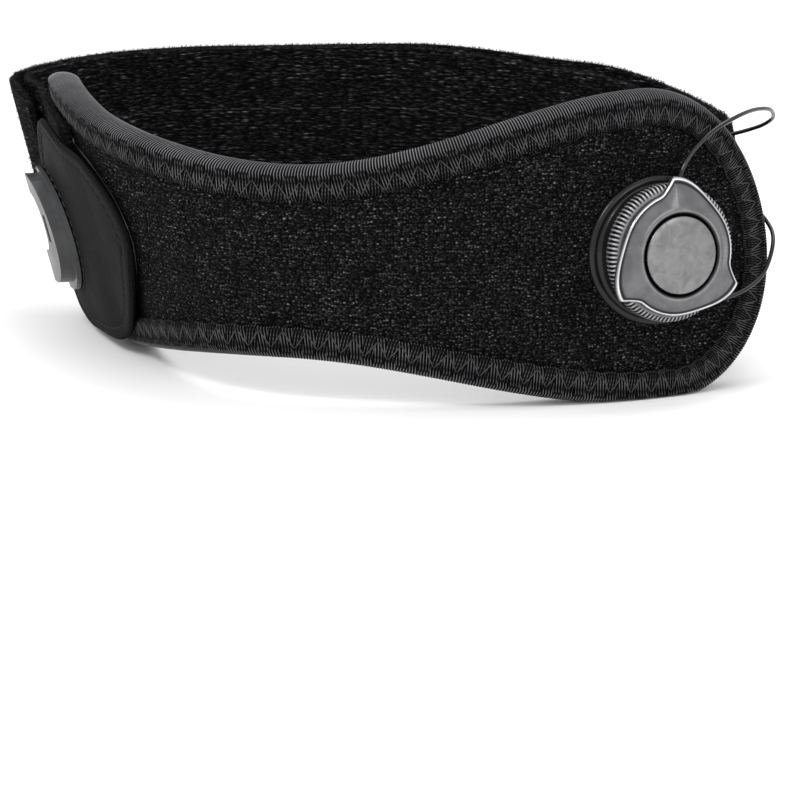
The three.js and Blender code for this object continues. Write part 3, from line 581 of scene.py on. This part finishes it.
line2d, around = closed_outline(4 / RIB)
inward = normals_in(line2d)
n_along = len(line2d)
along_mm = np.arange(n_along) * around / n_along
section, across = tape_section(25)
verts, uvs, rib_painted_light = [], [], []
side_of_zig = np.where((along_mm / ZIG) % 1 < 0.5, 1.0, -1.0)
for k, (distance, out) in enumerate(section):
    roll = 1 - np.clip(distance / TAPE_ROLL, 0, 1) ** 2
    slant = side_of_zig * 0.6 * max(0.0, distance - 2.0)
    phase = (along_mm + slant) / RIB * 2 * np.pi
    rib = 0.5 + 0.5 * np.cos(phase)
    height = (0.10 + 0.14 * roll) * rib
    pull = (0.16 * np.exp(-((distance - TAPE_FRONT * 0.42) / 0.8) ** 2)
            + 0.1 * np.exp(-((distance - TAPE_FRONT + 0.9) / 0.5) ** 2))
    height = height - pull * (1 if out > 0 else 0.6)
    edge_wave = 0.18 * np.sin(along_mm / ZIG * 2 * np.pi) * (distance > TAPE_FRONT - 1.2)
    dist = distance + edge_wave
    line = line2d + inward * dist[:, None]
    grow = height * (abs(out) / TAPE_OUT)
    side = height * (1 - min(1, distance / TAPE_ROLL))
    line = line - inward * side[:, None] * 0.7
    pos = place(pad_rail, line[:, 0], line[:, 1], out + np.sign(out) * grow)
    pos[:, 2] = np.maximum(pos[:, 2], 0.0)
    verts.append(pos)
    uvs.append(np.stack([along_mm, np.full(n_along, across[k])], 1))
    # Painted light for the tape: rib crests painted bright as highlights, the hollows between ribs dark as shade,
    # the rolled edge a little lighter and the stitch dents darker as shade
    rib_painted_light.append(np.clip(0.02 + 0.85 * rib + 0.1 * roll - 0.8 * pull, 0, 1))
verts = np.stack(verts, 1)
uvs = np.stack(uvs, 1).reshape(-1, 2)
tape = new_object("tape_ribs", verts.reshape(-1, 3), grid_faces(n_along, len(section), wrap_n=True), uvs)
set_painted_light(tape, np.stack(rib_painted_light, 1))
dress(tape, mat_tape)
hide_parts("edge_binding")


# Stitches
def thread(name, paths, radius, mat, sides=5):
    """Many short thread runs in one mesh; each path is an array of points in millimetres."""
    verts, faces = [], []
    start = 0
    for path in paths:
        p = np.asarray(path)
        d = np.gradient(p, axis=0)
        d /= np.linalg.norm(d, axis=1)[:, None] + 1e-9
        ref = np.array([0.3, 0.2, 0.93])
        a = np.cross(d, ref)
        a /= np.linalg.norm(a, axis=1)[:, None] + 1e-9
        b = np.cross(d, a)
        ang = np.arange(sides) / sides * 2 * np.pi
        thin = np.ones(len(p))
        thin[[0, -1]] = 0.45
        spoke = a[:, None] * np.cos(ang)[:, None] + b[:, None] * np.sin(ang)[:, None]
        ring = p[:, None] + radius * thin[:, None, None] * spoke
        verts.append(ring.reshape(-1, 3))
        faces.append(grid_faces(len(p), sides, wrap_m=True, start=start))
        start += len(p) * sides
    return dress(new_object(name, np.concatenate(verts), np.concatenate(faces)), mat)


def edge_track(distance):
    """A function from a distance along the outline to a point on the tape."""
    line = line2d + inward * distance
    s, h = np.append(line[:, 0], line[0, 0]), np.append(line[:, 1], line[0, 1])
    a = np.append(along_mm, around)
    return lambda at: (np.interp(at % around, a, s), np.interp(at % around, a, h))


inner_track, mid_track = edge_track(TAPE_FRONT - 0.5), edge_track(TAPE_FRONT * 0.4)
zig_count = round(around / ZIG)
step = around / zig_count
paths = []
for k in range(zig_count):
    for start_at, end_at in (((k, mid_track), (k + 0.5, inner_track)),
                             ((k + 0.5, inner_track), (k + 1, mid_track))):
        s0, h0 = start_at[1](start_at[0] * step)
        s1, h1 = end_at[1](end_at[0] * step)
        t = np.linspace(0.04, 0.96, 5)
        lift = TAPE_OUT + 0.08 + 0.1 * np.sin(np.pi * t)
        paths.append(place(pad_rail, s0 + (s1 - s0) * t, h0 + (h1 - h0) * t, lift))
thread("zigzag_stitches", paths, 0.13, mat_thread)

# The same seam shows on the inside as short scallops
inside_track, inside_mid = edge_track(TAPE_BACK - 0.4), edge_track(TAPE_BACK * 0.45)
paths = []
for k in range(zig_count * 2):
    s0, h0 = inside_mid(k * step / 2)
    s1, h1 = inside_track((k + 0.5) * step / 2)
    s2, h2 = inside_mid((k + 1) * step / 2)
    t = np.linspace(0.03, 0.97, 7)
    s = (1 - t) ** 2 * s0 + 2 * t * (1 - t) * (2 * s1 - (s0 + s2) / 2) + t * t * s2
    h = (1 - t) ** 2 * h0 + 2 * t * (1 - t) * (2 * h1 - (h0 + h2) / 2) + t * t * h2
    paths.append(place(pad_rail, s, h, -TAPE_OUT - 0.08 - 0.06 * np.sin(np.pi * t)))
thread("inside_stitches", paths, 0.12, mat_thread)


# Pad layers
def layer_lines(count, distance):
    bottom, _ = edge_points(False, count)
    top, _ = edge_points(True, count)
    ring = np.concatenate([bottom, top[-2:0:-1]])
    ring = ring + normals_in(ring) * distance
    low = ring[:count + 1]
    up = np.concatenate([ring[:1], ring[count:][::-1]])
    return low, up


low, up = layer_lines(300, LAYER_INSET - 0.4)
wave = lambda s, h: 0.12 * np.sin(s * 0.11 + 0.3 * np.sin(h * 0.12)) + 0.08 * np.sin(s * 0.27 + h * 0.16 + 1.7)
face = sheet_object("pad_pile", pad_rail, low, up, 90, lambda s, h: PAD_OUT - FACE_WALL + 0 * s,
                    lambda s, h: PAD_OUT + 0 * s, 1.2, lambda s, h: wave(s, h) + 0.05)
dress(face, mat_pad)
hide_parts("pad_face")

crease = lambda s, h, at, wide, deep, slope: -deep * np.exp(-((s - at - slope * h) / wide) ** 2)


def lining_folds(s, h):
    folds = 0.25 * np.sin(s * 0.14 + 0.4) * np.cos(h * 0.05)
    for at, wide, deep, slope in ((-78, 1.6, 0.7, 0.12), (-40, 1.2, 0.45, -0.1), (-14, 1.0, 0.35, 0.08),
                                  (16, 1.1, 0.4, -0.06), (47, 1.3, 0.4, 0.1), (80, 1.6, 0.5, -0.1)):
        folds = folds + crease(s, h, at, wide, deep, slope)
    return folds


def lining_inner(s, h):
    room = np.clip(np.minimum(h - edge_height(s, False), edge_height(s, True) - h) - TAPE_BACK, 0, 8) / 8
    return -PAD_OUT - room ** 0.7 * (0.5 + 0.5 * lining_folds(s, h))


lining = sheet_object("lining", pad_rail, low, up, 90, lining_inner,
                      lambda s, h: LINING_WALL - PAD_OUT + 0 * s, 1.6)
dress(lining, mat_knit)
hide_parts("pad_lining")


# Strap plan: the same line as the part's
def strap_offset(s):
    share = np.maximum(0, -s - STRAP_LEAVE) / (OUTER_START - STRAP_LEAVE)
    return PAD_OUT + STRAP_ROOM + STRAP_WALL / 2 + STRAP_BULGE * share ** STRAP_BEND


knots = []
for share in (0, 0.25, 0.5, 0.75, 1):
    s0 = -(STRAP_START + (OUTER_START - STRAP_START) * share)
    knots.append(place(pad_rail, s0, 0, strap_offset(s0)) - SHIFT)
for across_share, back_share in STRAP_TURNS:
    knots.append(np.array([across_share * LOOP_REACH, PAD_FRONT + back_share * LOOP_DEPTH, 0]))
for share in (0, 0.5, 1):
    tucked = -(TAPE_OUT + 2 * STRAP_ROOM + STRAP_WALL / 2)
    knots.append(place(pad_rail, PAD_HALF - STRAP_TUCK * share, 0, tucked) - SHIFT)
knots = np.array([[k[0], k[1], 0] for k in knots])
strap_line = smooth_route(knots, 60)[:, :2]
strap_at = np.concatenate([[0], np.cumsum(np.hypot(*np.diff(strap_line, axis=0).T))])
STRAP_LENGTH = strap_at[-1]
strap_dir = np.gradient(strap_line, axis=0)
strap_angle = np.unwrap(np.arctan2(-strap_dir[:, 1], -strap_dir[:, 0]))


def strap_rail(d):
    d = np.clip(d, 0, STRAP_LENGTH)
    overlap = OUTER_START - STRAP_START
    left = lean(-STRAP_START - np.clip(d, 0, overlap)) * (1 - smooth(d, overlap, overlap + LEAN_FADE))
    tuck = STRAP_LENGTH - STRAP_TUCK
    right = lean(np.full_like(d, PAD_HALF)) * smooth(d, tuck - LEAN_FADE, tuck)
    return (np.interp(d, strap_at, strap_line[:, 0]), np.interp(d, strap_at, strap_line[:, 1]),
            np.interp(d, strap_at, strap_angle), left + right)


def strap_rise(d):
    u = np.clip(d / STRAP_LENGTH, 0, 1)
    at = [a for a, _ in STRAP_RISES]
    lift = np.array([b for _, b in STRAP_RISES])
    i = np.clip(np.searchsorted(at, u, side="left"), 1, len(at) - 1)
    a0, a1 = np.array(at)[i - 1], np.array(at)[i]
    t = np.clip((u - a0) / (a1 - a0), 0, 1)
    t = t * t * (3 - 2 * t)
    return STRAP_LOW + STRAP_LIFT * (lift[i - 1] + (lift[i] - lift[i - 1]) * t)


def strap_lines(start, end, corner, count, raise_by):
    d = np.linspace(0, 1, count)
    d = start + (end - start) * (0.5 - 0.5 * np.cos(np.pi * d)) * 0.35 + (end - start) * d * 0.65
    fall = lambda near, radius: radius - np.sqrt(radius ** 2 - (radius - np.clip(near, 0, radius)) ** 2)
    cut = fall(d - start, corner) + fall(end - d, STRAP_CORNER)
    rise = strap_rise(d)
    return (np.stack([d, rise + cut], 1), np.stack([d, rise + STRAP_TALL + raise_by(d) - cut], 1))


outer_from, outer_to = OUTER_START - STRAP_START, STRAP_LENGTH - STRAP_TUCK - OUTER_SHORT
flare = lambda d: OUTER_FLARE * smooth(d, STRAP_LENGTH * 0.5, outer_to)
raised = lambda d: OUTER_RAISE * smooth(d, STRAP_LENGTH * 0.45, STRAP_LENGTH * 0.7)
half = STRAP_WALL / 2
ripple = lambda d, h: 0.16 * np.sin(d * 0.09) * np.sin(h * 0.13 + d * 0.02) + 0.05 * np.sin(d * 0.4 + h * 0.2)

inner_low, inner_up = strap_lines(0, STRAP_LENGTH, STRAP_CORNER, 420, lambda d: 0 * d)
inner_strap = sheet_object("strap_inner_pile", strap_rail, inner_low, inner_up, 60,
                           lambda d, h: -half + 0.6 * ripple(d, h), lambda d, h: half + 0.6 * ripple(d, h), 0.75)
dress(inner_strap, mat_strap)
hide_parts("strap_inner")
outer_low, outer_up = strap_lines(outer_from, outer_to, OUTER_CORNER, 400, raised)
outer_in = lambda d, h: half + STRAP_CHANNEL + flare(d)
outer_strap = sheet_object("strap_outer_pile", strap_rail, outer_low, outer_up, 60,
                           lambda d, h: outer_in(d, h) + 0.5 * ripple(d, h),
                           lambda d, h: outer_in(d, h) + STRAP_WALL + 0.5 * ripple(d, h), 0.75)
dress(outer_strap, mat_strap)
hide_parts("strap_outer")

# Two rows of long stitches on the outer layer
paths = []
for row_at in (0.46, 0.87):
    for k in range(int((outer_to - outer_from - 30) / STRAP_STITCH)):
        d = outer_from + 16 + k * STRAP_STITCH + np.linspace(0, STRAP_STITCH_LONG, 6)
        h = strap_rise(d) + STRAP_TALL * (1 - row_at)
        arch = 0.16 * np.sin(np.pi * np.linspace(0, 1, 6))
        skin = outer_in(d, h) + STRAP_WALL + 0.5 * ripple(d, h)
        paths.append(place(strap_rail, d, h, skin + 0.02 + arch))
        paths.append(place(strap_rail, d, h, -half + 0.6 * ripple(d, h) - 0.02 - arch))
thread("strap_stitches", paths, 0.17, mat_thread_dark)


# Loose fibres on the pile's faces and edges
def fibres(name, bases, ways, length, width):
    """Short bent strands, each of two flat segments."""
    count = len(bases)
    side = np.cross(ways, rng.normal(size=(count, 3)))
    side /= np.linalg.norm(side, axis=1)[:, None] + 1e-9
    bend = np.cross(side, ways)
    size = length * rng.uniform(0.5, 1.3, count)[:, None]
    curl = rng.uniform(-0.7, 0.7, count)[:, None]
    p0 = bases
    p1 = bases + (ways * 0.55 + bend * curl * 0.3) * size
    p2 = bases + (ways * 0.9 + bend * curl) * size
    w = side * width / 2
    verts = np.stack([p0 - w, p0 + w, p1 - w * 0.8, p1 + w * 0.8, p2], 1).reshape(-1, 3)
    i = np.arange(count)[:, None] * 5
    quads = (i + np.array([0, 1, 3, 2])).tolist()
    tips = (i + np.array([2, 3, 4])).tolist()
    return dress(new_object(name, verts, quads + tips), mat_fibre)


def edge_fibres(name, line, offset_in, offset_out, up, count, length):
    k = rng.uniform(0, len(line) - 1.001, count)
    i = k.astype(int)
    f = (k - i)[:, None]
    at = line[i] * (1 - f) + line[i + 1] * f
    near, far = offset_in(at[:, 0], at[:, 1]), offset_out(at[:, 0], at[:, 1])
    n = near + (far - near) * rng.uniform(0.05, 0.95, count)
    base = place(strap_rail, at[:, 0], at[:, 1] - up * 0.25, n)
    ways = rng.normal(size=(count, 3)) * 0.45 + np.array([0, 0, up])
    ways /= np.linalg.norm(ways, axis=1)[:, None]
    return fibres(name, base, ways, length, 0.09)


zero = lambda v: (lambda d, h: v + 0 * d)
edge_fibres("inner_top_fuzz", inner_up, zero(-half), zero(half), 1, 5000, 0.9)
edge_fibres("inner_low_fuzz", inner_low, zero(-half), zero(half), -1, 3500, 0.9)
outer_out = lambda d, h: outer_in(d, h) + STRAP_WALL
edge_fibres("outer_top_fuzz", outer_up, outer_in, outer_out, 1, 6000, 1.0)
edge_fibres("outer_low_fuzz", outer_low, outer_in, outer_out, -1, 4000, 1.0)


def face_fibres(name, rail, lower, upper, offset, sign, count, length, along_bias):
    k = rng.uniform(2, len(lower) - 3, count)
    i = k.astype(int)
    t = rng.uniform(0.02, 0.98, count)[:, None]
    at = lower[i] * (1 - t) + upper[i] * t
    base = place(rail, at[:, 0], at[:, 1], offset(at[:, 0], at[:, 1]))
    ahead = place(rail, at[:, 0] + 0.5, at[:, 1], offset(at[:, 0], at[:, 1])) - base
    out = place(rail, at[:, 0], at[:, 1], offset(at[:, 0], at[:, 1]) + 0.5) - base
    ahead /= np.linalg.norm(ahead, axis=1)[:, None]
    out /= np.linalg.norm(out, axis=1)[:, None]
    ways = ahead * rng.choice([-1, 1], count)[:, None] * along_bias + out * sign * 0.35
    ways = ways + rng.normal(size=(count, 3)) * 0.35
    ways /= np.linalg.norm(ways, axis=1)[:, None]
    return fibres(name, base, ways, length, 0.1)


face_fibres("inner_face_fuzz", strap_rail, inner_low, inner_up, lambda d, h: -half + 0.6 * ripple(d, h),
            -1, 16000, 1.1, 1.0)
face_fibres("outer_face_fuzz", strap_rail, outer_low, outer_up,
            lambda d, h: outer_out(d, h) + 0.5 * ripple(d, h), 1, 16000, 1.1, 1.0)
face_fibres("pad_fuzz", pad_rail, low, up, lambda s, h: PAD_OUT + wave(s, h), 1, 14000, 0.6, 0.25)


# Patch on the left lobe
def patch_back(s):
    over_tape = TAPE_OUT + GAP
    slope = strap_offset(s - 0.5) - strap_offset(s + 0.5)
    over_strap = np.maximum(over_tape, strap_offset(s) + half * np.hypot(1, slope) + PATCH_ROOM)
    t = smooth(-s, STRAP_START - PATCH_RISE, STRAP_START - 1)
    flare_out = PATCH_FLARE * smooth(-s, STRAP_START - PATCH_RISE, PATCH_LENGTH / 2 - PATCH_AT)
    return over_tape + (over_strap - over_tape) * t + flare_out


def patch_curve(inset):
    p = np.array([(PATCH_AT + a * (PATCH_LENGTH - 2 * inset), PATCH_UP + u * (PATCH_TALL - 2 * inset), 0.0)
                  for a, u in PATCH_OUTLINE])
    closed = np.concatenate([p[-2:], p, p[:3]])
    dense = smooth_route(closed, 24)
    return dense[2 * 24:(2 + len(p)) * 24 + 1, :2]


def patch_halves(inset, count):
    ring = patch_curve(inset)
    rear = PATCH_REAR * 24
    first, second = ring[:rear + 1][::-1], ring[rear:]

    def even(p):
        d = np.concatenate([[0], np.cumsum(np.hypot(*np.diff(p, axis=0).T))])
        w = np.linspace(0, 1, count)
        w = (0.5 - 0.5 * np.cos(np.pi * w)) * 0.4 + w * 0.6
        return np.stack([np.interp(w * d[-1], d, p[:, 0]), np.interp(w * d[-1], d, p[:, 1])], 1)

    return even(second), even(first)


patch_low, patch_up = patch_halves(0, 180)
edge_ring = patch_curve(0)


def ring_distance(s, h):
    shape = s.shape
    p = np.stack([s.ravel(), h.ravel()], 1)
    a, b = edge_ring[:-1:4], edge_ring[4::4]
    best = np.full(len(p), 1e9)
    for q0, q1 in zip(a, b):
        e = q1 - q0
        t = np.clip(((p - q0) @ e) / max(e @ e, 1e-9), 0, 1)
        best = np.minimum(best, np.hypot(*(p - q0 - t[:, None] * e).T))
    return best.reshape(shape)


def patch_dents(s, h):
    d = ring_distance(s, h)
    return (-0.28 * np.exp(-((d - PATCH_SEAM) / 0.45) ** 2) + 0.15 * np.exp(-((d - 1.3) / 0.8) ** 2)
            + 0.08 * np.sin(s * 0.2 + 1) * np.sin(h * 0.16))


leather = sheet_object("patch_leather", pad_rail, patch_low, patch_up, 80, lambda s, h: patch_back(s),
                       lambda s, h: patch_back(s) + PATCH_WALL - 0.1, 0.8, patch_dents)
dress(leather, mat_leather)
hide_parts("guide_patch")

# Patch stitches run round its edge and beside the guide
ring = patch_curve(PATCH_SEAM)
ring_d = np.concatenate([[0], np.cumsum(np.hypot(*np.diff(ring, axis=0).T))])
paths = []
for k in range(int(ring_d[-1] / PATCH_STITCH)):
    w = k * PATCH_STITCH + np.linspace(0, PATCH_STITCH_LONG, 5)
    s, h = np.interp(w, ring_d, ring[:, 0]), np.interp(w, ring_d, ring[:, 1])
    t = np.linspace(0, 1, 5)
    paths.append(place(pad_rail, s, h, patch_back(s) + PATCH_WALL - 0.35 + 0.24 * np.sin(np.pi * t)))
guide_e = np.linspace(0.02, 0.98, 80)
guide_s = GUIDE_AT + (GUIDE_DEPTH + FLANGE_RIM + 1.6) * np.sin(np.pi * guide_e)
guide_h = GUIDE_UP - (GUIDE_TALL / 2 + FLANGE_RIM + 1.6) * np.cos(np.pi * guide_e)
guide_d = np.concatenate([[0], np.cumsum(np.hypot(np.diff(guide_s), np.diff(guide_h)))])
for k in range(int(guide_d[-1] / PATCH_STITCH)):
    w = k * PATCH_STITCH + np.linspace(0, PATCH_STITCH_LONG, 5)
    s, h = np.interp(w, guide_d, guide_s), np.interp(w, guide_d, guide_h)
    t = np.linspace(0, 1, 5)
    paths.append(place(pad_rail, s, h, patch_back(s) + PATCH_WALL - 0.1 + 0.2 * np.sin(np.pi * t)))
thread("patch_stitches", paths, 0.16, mat_thread_dark)

# Hook tape under the patch, kept off the tape and the strap
hook_low, hook_up = patch_halves(HOOK_INSET, 120)


def keep_in(p):
    s = np.maximum(p[:, 0], -STRAP_START + 2 * GAP)
    low_edge = edge_height(s, False) + TAPE_FRONT + 2 * GAP
    high_edge = edge_height(s, True) - TAPE_FRONT - 2 * GAP
    return np.stack([s, np.clip(p[:, 1], low_edge, high_edge)], 1)


hook_piece = sheet_object("hook_strip", pad_rail, keep_in(hook_low), keep_in(hook_up), 24,
                          lambda s, h: PAD_OUT + GAP + 0 * s, lambda s, h: PAD_OUT + GAP + HOOK_WALL + 0 * s, 0.3)
dress(hook_piece, mat_hook)
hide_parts("patch_backing")

# Dial: rebuilt finer on the CAD's rings
foot = place(pad_rail, DIAL_AT, DIAL_UP, PAD_OUT + GAP)
dial_turn, dial_lean = float(turn(DIAL_AT)), float(lean(DIAL_AT))
tangent = np.array([math.cos(dial_turn), math.sin(dial_turn), 0.0])
axis = np.array([math.sin(dial_turn) * math.cos(dial_lean), -math.cos(dial_turn) * math.cos(dial_lean),
                 math.sin(dial_lean)])
rise = np.cross(axis, tangent)


def ring_at(radius, up, count):
    a = np.arange(count) / count * 2 * np.pi
    r = radius(a) if callable(radius) else np.full(count, radius)
    return foot + np.outer(r * np.cos(a), tangent) + np.outer(r * np.sin(a), rise) + axis * up


def seated_ring(radius, up, count):
    a = np.arange(count) / count * 2 * np.pi
    return place(pad_rail, DIAL_AT + radius * np.cos(a), DIAL_UP + radius * np.sin(a), PAD_OUT + GAP + up)


# Radius and height of each ring: the flange follows the pad, the housing stands square to the axis
FLANGE_ROWS = [(6, 0), (12, 0), (17.0, 0), (17.1, 0.35), (17.1, 0.75), (16.95, 1.1), (16.6, 1.4), (16.2, 1.5),
               (15.6, 1.5), (15.2, 1.35)]
HOUSING_ROWS = [(15.0, 1.9), (15.0, 2.9), (14.95, 3.6), (14.7, 3.9), (14.3, 4.0), (6, 4.0)]
BASE_STEPS = 288
base_rings = [seated_ring(radius, up, BASE_STEPS) for radius, up in FLANGE_ROWS]
base_rings += [ring_at(radius, up, BASE_STEPS) for radius, up in HOUSING_ROWS]
base = face_out(loft_object("dial_flange", base_rings))
dress(base, mat_dark)
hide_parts("dial_base")

def toothed(radius, deep):
    def at(a):
        v = (a * KNOB_TEETH / (2 * np.pi)) % 1
        return radius - deep * smooth(np.abs(v - 0.5) * 2, 0.35, 0.75)
    return at


# Radius, depth of the teeth, height and painted light of each ring of the knob; the painted light is brightest near
# the upper rim as a painted highlight
KNOB_ROWS = [(6, 0, 0, 0), (14.4, 0, 0, 0), (15.3, 0.4, 0.15, 0.3), (15.75, 0.55, 0.5, 0.75),
             (15.8, 0.6, 1.4, 0.75), (15.7, 0.6, 2.3, 0.8), (15.3, 0.55, 2.9, 0.95), (14.9, 0.35, 3.2, 0.9),
             (14.4, 0, 3.5, 0.7), (13.8, 0, 3.6, 0.6), (6, 0, 3.6, 0.2)]
KNOB_STEPS = KNOB_TEETH * 8
knob = face_out(loft_object("dial_knurl", [ring_at(toothed(radius, deep), KNOB_FOOT + up, KNOB_STEPS)
                                           for radius, deep, up, _ in KNOB_ROWS]))
# Painted light on the teeth: tooth tops painted bright as highlights, the gaps between them painted black as shade
tooth_painted_light = toothed(1.0, 1.0)(np.arange(KNOB_STEPS) / KNOB_STEPS * 2 * np.pi)
set_painted_light(knob, [level * (tooth_painted_light if deep else np.ones(KNOB_STEPS)) for _, deep, _, level in KNOB_ROWS])
dress(knob, mat_knurl, "knob")
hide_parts("dial_knob")


def lobes(a):
    v = ((a - math.radians(CAP_START)) / (2 * np.pi / 3)) % 1
    return np.maximum(smooth(v, 0.45, 1) ** 2, np.maximum(0, 1 - v / 0.14) ** 2)


def lobed(radius, reach):
    return lambda a: radius + CAP_REACH * reach * lobes(a)


# Radius, share of the lobes' reach, height and painted light of each ring of the cap: the bright rings on the rim
# and inner crests are painted highlights, the near-black rings in the groove and round the disc are painted shade
CAP_ROWS = [(6, 0, 0, 0.2), (13.02, 0.9, 0, 0.2), (13.79, 0.98, 0.12, 0.3), (14, 1, 0.4, 0.35), (14, 1, 0.9, 0.4),
            (13.86, 0.97, 1.25, 0.8), (13.58, 0.93, 1.4, 1.0), (13.37, 0.89, 1.3, 0.1),
            (13.16, 0.85, 1.25, 0.02), (12.88, 0.8, 1.5, 0.55), (12.18, 0.6, 1.95, 0.6), (11.48, 0.35, 2.4, 0.62),
            (11, 0, 2.8, 0.6), (10.5, 0, 2.95, 0.62), (10, 0, 3.0, 0.75), (9.6, 0, 2.9, 0.1),
            (9.35, 0, 2.6, 0.02), (9.3, 0, 2.2, 0.02), (6, 0, 2.2, 0.02)]
CAP_STEPS = 432
cap = face_out(loft_object("dial_wings", [ring_at(lobed(radius, reach), CAP_FOOT + up, CAP_STEPS)
                                          for radius, reach, up, _ in CAP_ROWS]))
set_painted_light(cap, [np.full(CAP_STEPS, level) for _, _, _, level in CAP_ROWS])
dress(cap, mat_cap, "knob")
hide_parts("dial_cap")

DISC_ROWS = [(6, 2.5), (8.75, 2.5), (8.8, 2.8), (8.7, 3.02), (8.5, 3.1), (7, 3.14), (4, 3.18), (1, 3.2)]
disc = face_out(loft_object("dial_inlay", [ring_at(radius, CAP_FOOT + up, 144) for radius, up in DISC_ROWS]))
dress(disc, mat_disc, "knob")
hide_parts("dial_disc")

# The lace guide keeps its CAD shape
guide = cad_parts["lace_guide"]
guide.data.materials.clear()
guide.data.materials.append(mat_grey)

# Floor and studio light
floor_mesh = bpy.data.meshes.new("floor")
floor_mesh.from_pydata([(-6, -6, -0.0004), (6, -6, -0.0004), (6, 6, -0.0004), (-6, 6, -0.0004)], [], [(0, 1, 2, 3)])
floor = bpy.data.objects.new("floor", floor_mesh)
bpy.context.scene.collection.objects.link(floor)
floor_mesh.materials.append(material("floor", (0.92, 0.92, 0.92), 0.9)[0])

world = bpy.data.worlds.new("studio")
bpy.context.scene.world = world
world.use_nodes = True
world.node_tree.nodes["Background"].inputs["Color"].default_value = (1, 1, 1, 1)
world.node_tree.nodes["Background"].inputs["Strength"].default_value = 1.0


def light(name, where, target, size, power):
    data = bpy.data.lights.new(name, "AREA")
    data.shape, data.size, data.energy = "DISK", size, power
    obj = bpy.data.objects.new(name, data)
    obj.location = where
    obj.rotation_euler = (Vector(target) - Vector(where)).to_track_quat("-Z", "Y").to_euler()
    bpy.context.scene.collection.objects.link(obj)


light("key", (-0.5, -0.9, 1.1), (0, -0.02, 0.03), 0.4, 9)
light("fill", (0.9, -0.7, 0.5), (0.02, 0, 0.03), 0.6, 2.5)
light("top", (0.1, 0.3, 1.2), (0, 0, 0.03), 0.8, 5)

view = bpy.context.scene.view_settings
view.view_transform, view.look, view.exposure, view.gamma = "Standard", "None", 0.0, 1.0
